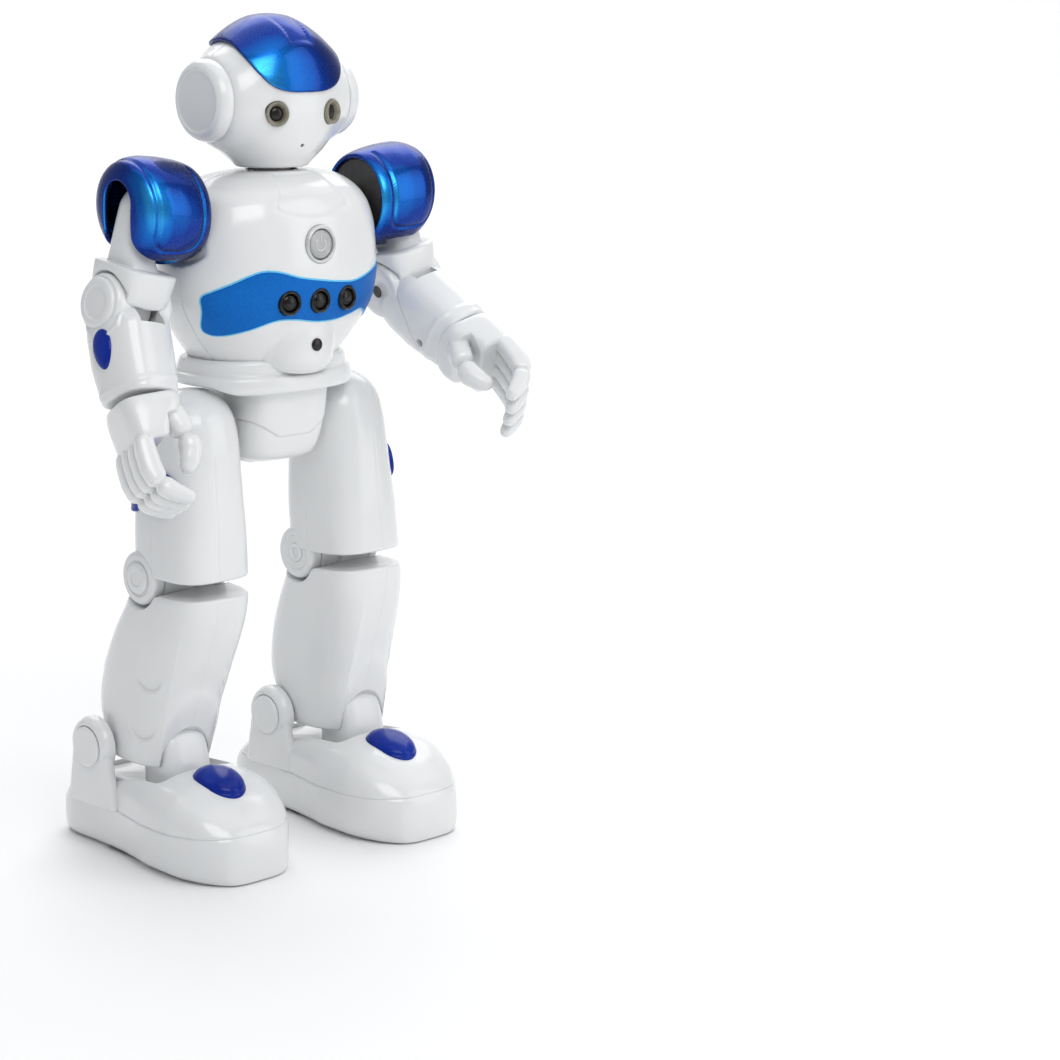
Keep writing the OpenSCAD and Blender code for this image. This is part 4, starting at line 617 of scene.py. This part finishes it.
def shin_disp(P, N):
    x, y, z = P[...,0], P[...,1], P[...,2]; o = (x > 34)*sst((N[...,0]-0.35)/0.3)
    d = o*(dent(y, z, -1.0, 61.0, 5.8, 5.2, 0.75)+dent(y, z, 2.5, 44.5, 6.0, 5.2, 0.75))
    bk = (y > 14)*sst((N[...,1]-0.2)/0.3); q = x
    d = d+bk*(dent(q, z, 40.5, 63.0, 3.4, 7.0, 0.6)+dent(q, z, 41.0, 46.5, 3.4, 6.0, 0.6))
    return d-0.13*np.exp(-((x-33.5)/0.22)**2)*(y < -4)
def foot_solid():
    T = np.array(FOOT, float); s = np.r_[0, np.cumsum(np.linalg.norm(np.diff(T, axis=0), axis=1))]
    n = 210; si = np.linspace(0, s[-1], n); si = np.unique(np.r_[si, 0.25*np.arange(12), s[-1]-0.25*np.arange(12)])
    Y, W, Z = [pchip(s, T[:,k], si) for k in range(3)]; e = np.minimum(si, s[-1]-si); rr = 3.0
    f = np.where(e < rr, np.sqrt(np.maximum(1-((rr-e)/rr)**2, 0)), 1); inset_ = 3.0*(1-f)
    t = np.linspace(-PI, PI, 300, endpoint=False); c, sn = np.cos(t), np.sin(t); ex = np.where(sn < 0, 5.0, 3.0); r = (abs(c)**ex+abs(sn)**ex)**(-1/ex)
    zb = -0.6; X = (W-inset_)[:,None]*(r*c); zc = ((Z+zb)/2)[:,None]; hz = ((Z-zb)/2-inset_*0.8)[:,None]; ZZ = zc+hz*(r*sn); YY = Y[:,None]+0*X
    P = np.stack([FX+X, YY, ZZ], -1)
    g = 0.28*np.exp(-((P[...,2]-15.4)/0.34)**2); k = (abs(X)-g)/np.maximum(abs(X), 1e-6); fr = sst((40-abs(YY))/3)
    P[...,0] = FX+X*(1-(1-np.clip(k, 0, 1))*1.0); P[...,1] = YY+g*np.sign(-YY)*(1-fr)
    return capped(P)
FOOT_VF = foot_solid()
def sliced(name, VF, z, keep_above, where):
    ob = mesh(name, *VF, where); bm = bmesh.new(); bm.from_mesh(ob.data)
    g = bmesh.ops.bisect_plane(bm, geom=bm.verts[:]+bm.edges[:]+bm.faces[:], plane_co=(0,0,z/1000), plane_no=(0,0,1), clear_inner=keep_above, clear_outer=not keep_above)
    ed = [e for e in g["geom_cut"] if isinstance(e, bmesh.types.BMEdge)]; bmesh.ops.edgeloop_fill(bm, edges=ed)
    bmesh.ops.recalc_face_normals(bm, faces=bm.faces); bm.to_mesh(ob.data); bm.free(); ob.data.set_sharp_from_angle(angle=math.radians(40)); return ob
BTN = spl([(7.9*math.cos(t), 9.4*math.sin(t)+(0.5*math.cos(2*t))) for t in np.linspace(0, 2*PI, 24, endpoint=False)], 0.35)
for s, n in ((-1, "right"), (1, "left")):
    w = leg(s)
    th = mesh("thigh_body_"+n, *body_loft(THIGH, 260, 0.45, 1.1, 0.0, thigh_disp), w)
    cut(th, [(*turned([(0,20.1),(9.7,20.1),(9.7,41.3),(0,41.3)], [0,KNEE[0],KNEE[1]], [1,0,0], 96), w), (*box_solid(20.3,41.1,-15.5,12.5,86,97,1.5), w)])
    PARTS.append((th, "white_shell", n+"_thigh", ["thigh_shell_"+n], None))
    ears = [turned(rounded([(0,x0),(8.5,x0),(8.6,x0+0.4),(8.6,x1-0.9),(7.7,x1),(5.9,x1+0.05),(5.6,x1-0.35),(0,x1-0.35)], [0,.3,.3,.8,.8,.2,.2,0]), [30.75,KNEE[0],KNEE[1]], [k,0,0], 120) for k, x0, x1 in ((1,10.4,14.65),(-1,10.4,14.65))]
    add("knee_ears_"+n, merge(*ears), "white_shell", n+"_thigh", w)
    kp = [turned(rounded([(0,12.0),(5.0,12.0),(5.0,15.0),(4.4,15.55),(2.6,15.6),(2.4,15.3),(0,15.3)], [0,.2,.3,.5,.2,.2,0]), [30.75,KNEE[0],KNEE[1]], [k,0,0], 96, 1.0) for k in (1,)]
    kp.append(turned(rounded([(1.5,14.0),(1.5,14.6),(1.9,14.95),(2.9,14.9),(3.2,14.4)], .15), [30.75,KNEE[0],KNEE[1]], [-1,0,0], 64))
    add("knee_cap_"+n, merge(*kp), "white_shell", n+"_thigh", w, ["knee_pin_"+n])
    add("thigh_cover_"+n, TRIM_VF, "navy_gloss", n+"_thigh", w, ["thigh_trim_"+n])
    hb = turned(rounded([(0,-10.05),(8.7,-10.05),(8.7,-3.4),(8.2,-3.0),(8.2,-2.2),(8.7,-1.8),(8.7,10.05),(0,10.05)], [0,.4,.2,.2,.2,.2,.4,0]), [30.75,KNEE[0],KNEE[1]], [1,0,0], 96)
    add("shin_body_"+n, merge(body_loft(SHIN, 330, 0.33, 1.0, 1.3, shin_disp, shin_warp), hb), "white_shell", n+"_shin", w, ["shin_shell_"+n])
    w = foot(s); az = ankle(s)[2]
    ap = [turned(rounded([(0,x0),(6.3,x0),(6.55,x0+0.5),(6.55,x0+1.0),(5.9,x0+1.4),(0,x0+1.5)], [0,.2,.4,.3,.4,0]), [34.3,ANK[0],az], [k,0,0], 96) for k, x0 in ((1,19.0),(-1,18.8))]
    ap.append(turned([(0,-19),(2.5,-19),(2.5,19),(0,19)], [34.3,ANK[0],az], [1,0,0], 48))
    add("ankle_caps_"+n, merge(*ap), "white_shell", n+"_shin", w, ["ankle_pin_"+n])
    up = sliced("foot_top_"+n, FOOT_VF, 15.43, True, w)
    cut(up, [(*box_solid(19.6,49.0,-9.5,37,17.5,60,3.0), w)])
    PARTS.append((up, "white_shell", n+"_foot", ["foot_cover_"+n], None))
    ears = []
    for k, x0, x1 in ((1,14.8,19.45),(-1,14.8,19.45)):
        prof = rounded([(2.6,x0),(9.4,x0),(9.6,x0+0.4),(9.6,x1-2.0),(8.2,x1-0.1),(6.9,x1),(6.75,x1-0.6),(2.6,x1-0.6)], [0,.3,.3,1.8,1.2,.2,.2,0])
        ears.append(turned(prof, [34.3,ANK[0],az], [k,0,0], 120))
        tab = Loft([[15.5,34.3+k*17.1,23,2.2,12.6,4],[20,34.3+k*17.1,23,2.3,11.6,4],[az-4,34.3+k*17.1,23,2.3,9.6,4],[az+1,34.3+k*17.1,23,2.2,8.6,3]], 30)
        v = np.linspace(0, tab.len, 40); u = np.linspace(-PI, PI, 100, endpoint=False)*30; U, Vv = np.meshgrid(u, v); ears.append(capped(tab(U, Vv)[0]))
    add("ankle_bosses_"+n, merge(*ears), "white_shell", n+"_foot", w)
    add("instep_"+n, body_loft([[24,34.3,0.5,8.9,9.0,4],[34,34.3,1.6,8.8,8.2,4],[40,34.3,2.4,8.2,7.0,3.6],[43,34.3,3.4,6.2,5.0,3],[43.8,34.3,4,3.5,3,2.5]], 160, 0.5, 0.5, 0.8), "white_shell", n+"_foot", w)
    def well_warp(P):
        P = P.copy(); P[...,2] = P[...,2]-3.6*sst((P[...,1]-22)/13)*sst((P[...,2]-18)/5); return P
    add("ankle_well_"+n, body_loft([[17.7,34.3,13.6,14.1,22.6,12],[21,34.3,13.6,14.1,22.6,12],[25.3,34.3,13.6,14.1,22.6,12]], 200, 0.6, 0.3, 0.8, None, well_warp), "white_shell", n+"_foot", w)
    lo = sliced("sole_"+n, FOOT_VF, 15.37, False, w); bmx = bmesh.new(); bmx.from_mesh(lo.data)
    g = bmesh.ops.bisect_plane(bmx, geom=bmx.verts[:]+bmx.edges[:]+bmx.faces[:], plane_co=(0,0,0.0006), plane_no=(0,0,1), clear_inner=True)
    bmesh.ops.edgeloop_fill(bmx, edges=[e for e in g["geom_cut"] if isinstance(e, bmesh.types.BMEdge)]); bmesh.ops.recalc_face_normals(bmx, faces=bmx.faces); bmx.to_mesh(lo.data); bmx.free()
    cutters = [(*box_solid(FX+k*12.6-2.3, FX+k*12.6+2.3, 4.0, 22.0, -3, 13.5, 0.8), w) for k in (-1, 1)]+[(*box_solid(FX-7, FX+7, -8, 21, 1.9, 20, 1.5), w)]
    cutters += [hole([FX+a, b, 0.6], [0,0,-1], 1.7, 3.0, 2.5, w) for a, b in ((-12,-14),(12,-14),(0,42))]
    cut(lo, cutters); PARTS.append((lo, "white_shell", n+"_foot", ["sole_tub_"+n], None))
    nub = [turned([(0,2.0)]+[(2.4*math.cos(t), -2.4*math.sin(t)) for t in np.linspace(-0.8, PI/2-0.05, 16)]+[(0,-2.4)], [FX+k*8.5,-26,2.4], [0,0,1], 40) for k in (-1, 1)]
    sc = []
    for a, b in ((-12,-14),(12,-14),(0,42)): sc.append(turned(rounded([(0,1.0),(1.55,1.0),(1.5,2.2),(0,2.6)], .2), [FX+a,b,0.6], [0,0,1], 32))
    add("glide_studs_"+n, merge(*nub), "white_shell", n+"_foot", w)
    add("sole_screws_"+n, merge(*sc), "steel", n+"_foot", w)
    M = Rx(15.5); O = np.array([FX,-19.3,27.75])
    add("foot_oval_"+n, dome(BTN, O, M @ [1,0,0], M @ [0,1,0], M @ [0,0,1], 4.1, 2.0, 0.8), "navy_gloss", n+"_foot", w, ["foot_button_"+n])

# ------------------------------------------------------------------ materials
class Mat:
    def __init__(self, name, color, rough, metallic=0.0, coat=0.0, coat_rough=0.03, ior=1.5, spec=0.5):
        m = bpy.data.materials.new(name); m.use_nodes = True; self.m = m; self.t = m.node_tree; self.b = self.t.nodes["Principled BSDF"]
        self.b.inputs["Base Color"].default_value = (*color, 1); self.b.inputs["Roughness"].default_value = rough
        self.b.inputs["Metallic"].default_value = metallic; self.b.inputs["Coat Weight"].default_value = coat
        self.b.inputs["Coat Roughness"].default_value = coat_rough; self.b.inputs["IOR"].default_value = ior; self.b.inputs["Specular IOR Level"].default_value = spec
        self.color = color; self.tc = self.t.nodes.new("ShaderNodeTexCoord"); self.h = None
    def noise(self, scale, detail=3, rough=0.5, dist=0.0):
        n = self.t.nodes.new("ShaderNodeTexNoise"); n.inputs["Scale"].default_value = scale; n.inputs["Detail"].default_value = detail
        n.inputs["Roughness"].default_value = rough; n.inputs["Distortion"].default_value = dist; self.t.links.new(self.tc.outputs["Object"], n.inputs["Vector"]); return n.outputs["Fac"]
    def cells(self, scale):
        n = self.t.nodes.new("ShaderNodeTexVoronoi"); n.inputs["Scale"].default_value = scale; self.t.links.new(self.tc.outputs["Object"], n.inputs["Vector"]); return n.outputs["Color"]
    def ramp(self, fac, stops):
        r = self.t.nodes.new("ShaderNodeValToRGB"); e = r.color_ramp.elements
        while len(e) < len(stops): e.new(0.5)
        for i, (p, c) in enumerate(stops): e[i].position = p; e[i].color = (*c, 1) if len(c) == 3 else c
        self.t.links.new(fac, r.inputs["Fac"]); return r.outputs["Color"]
    def vary(self, fac, lo, hi, socket, a=0.3, b=0.7):
        r = self.t.nodes.new("ShaderNodeMapRange"); r.inputs["From Min"].default_value = a; r.inputs["From Max"].default_value = b
        r.inputs["To Min"].default_value = lo; r.inputs["To Max"].default_value = hi; self.t.links.new(fac, r.inputs["Value"]); self.t.links.new(r.outputs["Result"], self.b.inputs[socket]); return self
    def mix(self, fac, a, b, mode="MIX"):
        m = self.t.nodes.new("ShaderNodeMix"); m.data_type = "RGBA"; m.blend_type = mode
        for s, v in ((6, a), (7, b)):
            if isinstance(v, tuple): m.inputs[s].default_value = (*v, 1)
            else: self.t.links.new(v, m.inputs[s])
        if isinstance(fac, float): m.inputs[0].default_value = fac
        else: self.t.links.new(fac, m.inputs[0])
        return m.outputs[2]
    def base(self, out): self.t.links.new(out, self.b.inputs["Base Color"]); return self
    def bump(self, fac, strength, distance):
        b = self.t.nodes.new("ShaderNodeBump"); b.inputs["Strength"].default_value = strength; b.inputs["Distance"].default_value = distance
        self.t.links.new(fac, b.inputs["Height"])
        if self.h is not None: self.t.links.new(self.h, b.inputs["Normal"])
        self.h = b.outputs["Normal"]; self.t.links.new(self.h, self.b.inputs["Normal"]); return self
    # mask of concave vertices (low pointiness); the materials use it to paint shade into creases and gaps
    def crease_shade_mask(self, lo=0.40, hi=0.49):
        g = self.t.nodes.new("ShaderNodeNewGeometry"); return self.ramp(g.outputs["Pointiness"], [(lo, (1,1,1)), (hi, (0,0,0))])

def white_plastic():
    m = Mat("white_shell", (0.76,0.77,0.775), 0.2, coat=0.35, coat_rough=0.08, ior=1.53)
    tone = m.ramp(m.noise(28, 2), [(0.35, (0.745,0.757,0.764)), (0.65, (0.770,0.778,0.782))])
    # painted shade: concave creases and gaps are tinted warm brown to stand in for the darker bounce light there
    painted_crease_shade = m.mix(m.crease_shade_mask(), tone, (0.50,0.46,0.39))
    dust = m.ramp(m.noise(260, 6, 0.7), [(0.66, (0,0,0)), (0.80, (0.35,0.35,0.35))])
    m.base(m.mix(dust, painted_crease_shade, (0.70,0.70,0.69)))
    m.vary(m.noise(120, 4), 0.15, 0.27, "Roughness"); m.bump(m.noise(900, 2), 0.05, 0.00012).bump(m.noise(60, 2), 0.10, 0.0006)
    m.b.inputs["Subsurface Weight"].default_value = 0.06; m.b.inputs["Subsurface Radius"].default_value = (0.002,0.0016,0.0012); m.b.inputs["Subsurface Scale"].default_value = 1.0
    return m.m
def blue_paint():
    m = Mat("blue_metallic", (0.004,0.10,0.62), 0.26, metallic=1.0, coat=0.22, coat_rough=0.05, ior=1.5, spec=0.3)
    # painted highlight: the base colour turns bright cyan where the surface faces the viewer, standing in for the key
    # light's reflection; the darkening toward grazing angles is the candy paint's own colour shift
    lw = m.t.nodes.new("ShaderNodeLayerWeight"); lw.inputs["Blend"].default_value = 0.42
    tone = m.ramp(lw.outputs["Facing"], [(0.02, (0.030,0.38,0.86)), (0.11, (0.005,0.15,0.56)), (0.27, (0.0008,0.030,0.27)), (0.65, (0.0004,0.011,0.14))])
    tone = m.mix(m.ramp(m.noise(40, 2), [(0.3, (0,0,0)), (0.7, (0.16,0.16,0.16))]), tone, (0.001,0.02,0.24))
    fl = m.cells(3400); lum = m.t.nodes.new("ShaderNodeRGBToBW"); m.t.links.new(fl, lum.inputs["Color"])
    flake = m.ramp(lum.outputs["Val"], [(0.55, (0,0,0)), (0.95, (0.22,0.22,0.22))])
    # painted shade: creases are darkened to a near black blue
    m.base(m.mix(m.crease_shade_mask(0.42, 0.485), m.mix(flake, tone, (0.01,0.16,0.62)), (0.0006,0.007,0.08)))
    m.vary(lum.outputs["Val"], 0.26, 0.33, "Roughness"); m.bump(lum.outputs["Val"], 0.04, 0.00002).bump(m.noise(150, 3), 0.04, 0.0003)
    return m.m
def navy():
    m = Mat("navy_gloss", (0.002,0.022,0.26), 0.18, coat=0.14, coat_rough=0.04, ior=1.5, spec=0.14)
    # painted shade: creases are darkened to a near black navy
    m.base(m.mix(m.crease_shade_mask(), m.ramp(m.noise(90, 3), [(0.35, (0.001,0.016,0.24)), (0.65, (0.002,0.026,0.31))]), (0.001,0.006,0.08)))
    m.vary(m.noise(300, 4), 0.12, 0.24, "Roughness"); m.bump(m.noise(700, 2), 0.05, 0.0001); return m.m
def film(name, c0, c1, c2):
    m = Mat(name, c0, 0.42, metallic=0.30, coat=0.04, coat_rough=0.18, spec=0.12)
    fl = m.noise(2600, 3, 0.6); m.base(m.mix(m.ramp(fl, [(0.42, (0,0,0)), (0.68, (0.6,0.6,0.6))]), m.ramp(m.noise(26, 2), [(0.3, c0), (0.7, c1)]), c2))
    m.vary(fl, 0.30, 0.44, "Roughness"); m.bump(m.noise(1500, 3), 0.06, 0.00006); return m.m
def simple(name, c0, c1, r0, r1, scale, metallic=0.0, coat=0.0, bump=0.08, dist=0.0001, spec=0.5, coat_rough=0.05):
    m = Mat(name, c0, r0, metallic=metallic, coat=coat, spec=spec, coat_rough=coat_rough)
    m.base(m.ramp(m.noise(scale, 4), [(0.35, c0), (0.65, c1)])); m.vary(m.noise(scale*2.3, 4), r0, r1, "Roughness"); m.bump(m.noise(scale*5, 3), bump, dist); return m.m
MATS = {"white_shell": white_plastic(), "blue_metallic": blue_paint(), "navy_gloss": navy(),
 "chest_film": film("chest_film", (0.001,0.105,0.44), (0.002,0.125,0.50), (0.008,0.19,0.60)),
 "chest_edge": film("chest_edge", (0.10,0.48,0.80), (0.13,0.55,0.86), (0.30,0.72,0.95)),
 "black_lens": simple("black_lens", (0.006,0.006,0.007), (0.014,0.011,0.010), 0.10, 0.20, 200, coat=0.22, bump=0.02, spec=0.25),
 "eye_ring": simple("eye_ring", (0.20,0.185,0.14), (0.29,0.265,0.205), 0.32, 0.46, 260, coat=0.3, bump=0.05),
 "silver_button": simple("silver_button", (0.36,0.37,0.372), (0.43,0.438,0.438), 0.30, 0.42, 300, metallic=0.2, coat=0.6, bump=0.04),
 "button_rim": simple("button_rim", (0.56,0.575,0.58), (0.66,0.67,0.67), 0.26, 0.38, 300, metallic=0.3, coat=0.4, bump=0.04),
 "symbol": simple("symbol", (0.58,0.585,0.59), (0.66,0.665,0.67), 0.35, 0.5, 400, metallic=0.3, coat=0.2),
 "circuit_board": simple("circuit_board", (0.012,0.14,0.05), (0.02,0.20,0.08), 0.35, 0.5, 150),
 "battery_wrap": simple("battery_wrap", (0.06,0.22,0.10), (0.10,0.30,0.14), 0.3, 0.42, 60, coat=0.5),
 "dark_plastic": simple("dark_plastic", (0.022,0.022,0.024), (0.04,0.038,0.037), 0.35, 0.55, 220),
 "steel": simple("steel", (0.50,0.50,0.51), (0.62,0.62,0.63), 0.22, 0.38, 320, metallic=1.0),
 "gear_plastic": simple("gear_plastic", (0.72,0.68,0.57), (0.80,0.77,0.66), 0.4, 0.55, 120),
 "rubber": simple("rubber", (0.018,0.018,0.018), (0.034,0.033,0.032), 0.6, 0.8, 320, bump=0.3, dist=0.0002)}

for ob, slot, body, reps, mat in PARTS:
    ob.data.materials.clear(); ob.data.materials.append(MATS[mat or slot])
    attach(ob, body)
    if reps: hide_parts(*reps)
slot_of = {p["node"]: p["material_slot"] for p in frame["record"]["subparts"]}
for n, ob in frame["nodes"].items():
    ob.data.materials.clear(); ob.data.materials.append(MATS[slot_of[n]])

# ------------------------------------------------------------------ floor, light, camera
AZ, EL = math.radians(-44.20), math.radians(11.55)
prof = [(-2.2,0),(0,0),(1.2,0)]+[(1.2+1.4*math.sin(t), 1.4-1.4*math.cos(t)) for t in np.linspace(0.08, PI/2, 22)]+[(2.6,4.0)]
fv = [(math.cos(AZ)*q-math.sin(AZ)*d, math.sin(AZ)*q+math.cos(AZ)*d, h) for d, h in prof for q in (-5.0,5.0)]
fme = bpy.data.meshes.new("floor"); fme.from_pydata(fv, [], [(2*i, 2*i+1, 2*i+3, 2*i+2) for i in range(len(prof)-1)]); fme.polygons.foreach_set("use_smooth", [True]*len(fme.polygons))
floor = bpy.data.objects.new("floor", fme); bpy.context.scene.collection.objects.link(floor)
fm = Mat("floor_paper", (0.93,0.93,0.93), 0.75); fm.base(fm.ramp(fm.noise(4, 2), [(0.3, (0.925,0.925,0.925)), (0.7, (0.935,0.935,0.935))])); fm.bump(fm.noise(900, 2), 0.05, 0.0002)
floor.data.materials.append(fm.m)
W = bpy.data.worlds.new("studio"); bpy.context.scene.world = W; W.use_nodes = True
W.node_tree.nodes["Background"].inputs[0].default_value = (0.95,0.97,1.0,1); W.node_tree.nodes["Background"].inputs[1].default_value = 0.44
def area(name, loc, target, size, power, color=(1,1,1), sy=None):
    L = bpy.data.lights.new(name, "AREA"); L.energy = power; L.size = size; L.color = color
    if sy: L.shape = "RECTANGLE"; L.size_y = sy
    o = bpy.data.objects.new(name, L); bpy.context.scene.collection.objects.link(o); o.location = loc
    o.rotation_euler = (Vector(target)-Vector(loc)).to_track_quat("-Z", "Y").to_euler(); return o
back = Vector((math.sin(AZ)*math.cos(EL), -math.cos(AZ)*math.cos(EL), math.sin(EL))); right = Vector((math.cos(AZ), math.sin(AZ), 0)); up = back.cross(right)
ctr = Vector((0,0,0.14))
def about(r, u, b): return ctr+right*r+up*u+back*b
area("key", about(0.30,0.50,0.80), ctr, 0.60, 3.0, (1,0.995,0.985), 0.50)
area("fill_left", about(-0.95,0.15,0.30), ctr, 0.45, 0.12, (0.95,0.97,1.0), 0.9)
area("fill_right", about(0.95,0.30,0.25), ctr, 0.50, 1.9, (1,0.995,0.985), 0.9)
area("top", about(0.1,1.15,0.0), ctr, 1.6, 6.2)
area("paper", about(0,1.9,-1.7), about(0,-0.2,-1.7), 2.6, 32.0, (1,1,1), 2.2)
cam = bpy.data.cameras.new("cam"); cam.sensor_width = 36; cam.lens = 92.46; cam.clip_start = 0.05; cam.clip_end = 30
co = bpy.data.objects.new("cam", cam); bpy.context.scene.collection.objects.link(co)
co.matrix_world = Matrix(((right.x, up.x, back.x, -0.53738),(right.y, up.y, back.y, -0.67015),(right.z, up.z, back.z, 0.27747),(0,0,0,1)))
bpy.context.scene.camera = co
bpy.context.scene.view_settings.view_transform = "Standard"
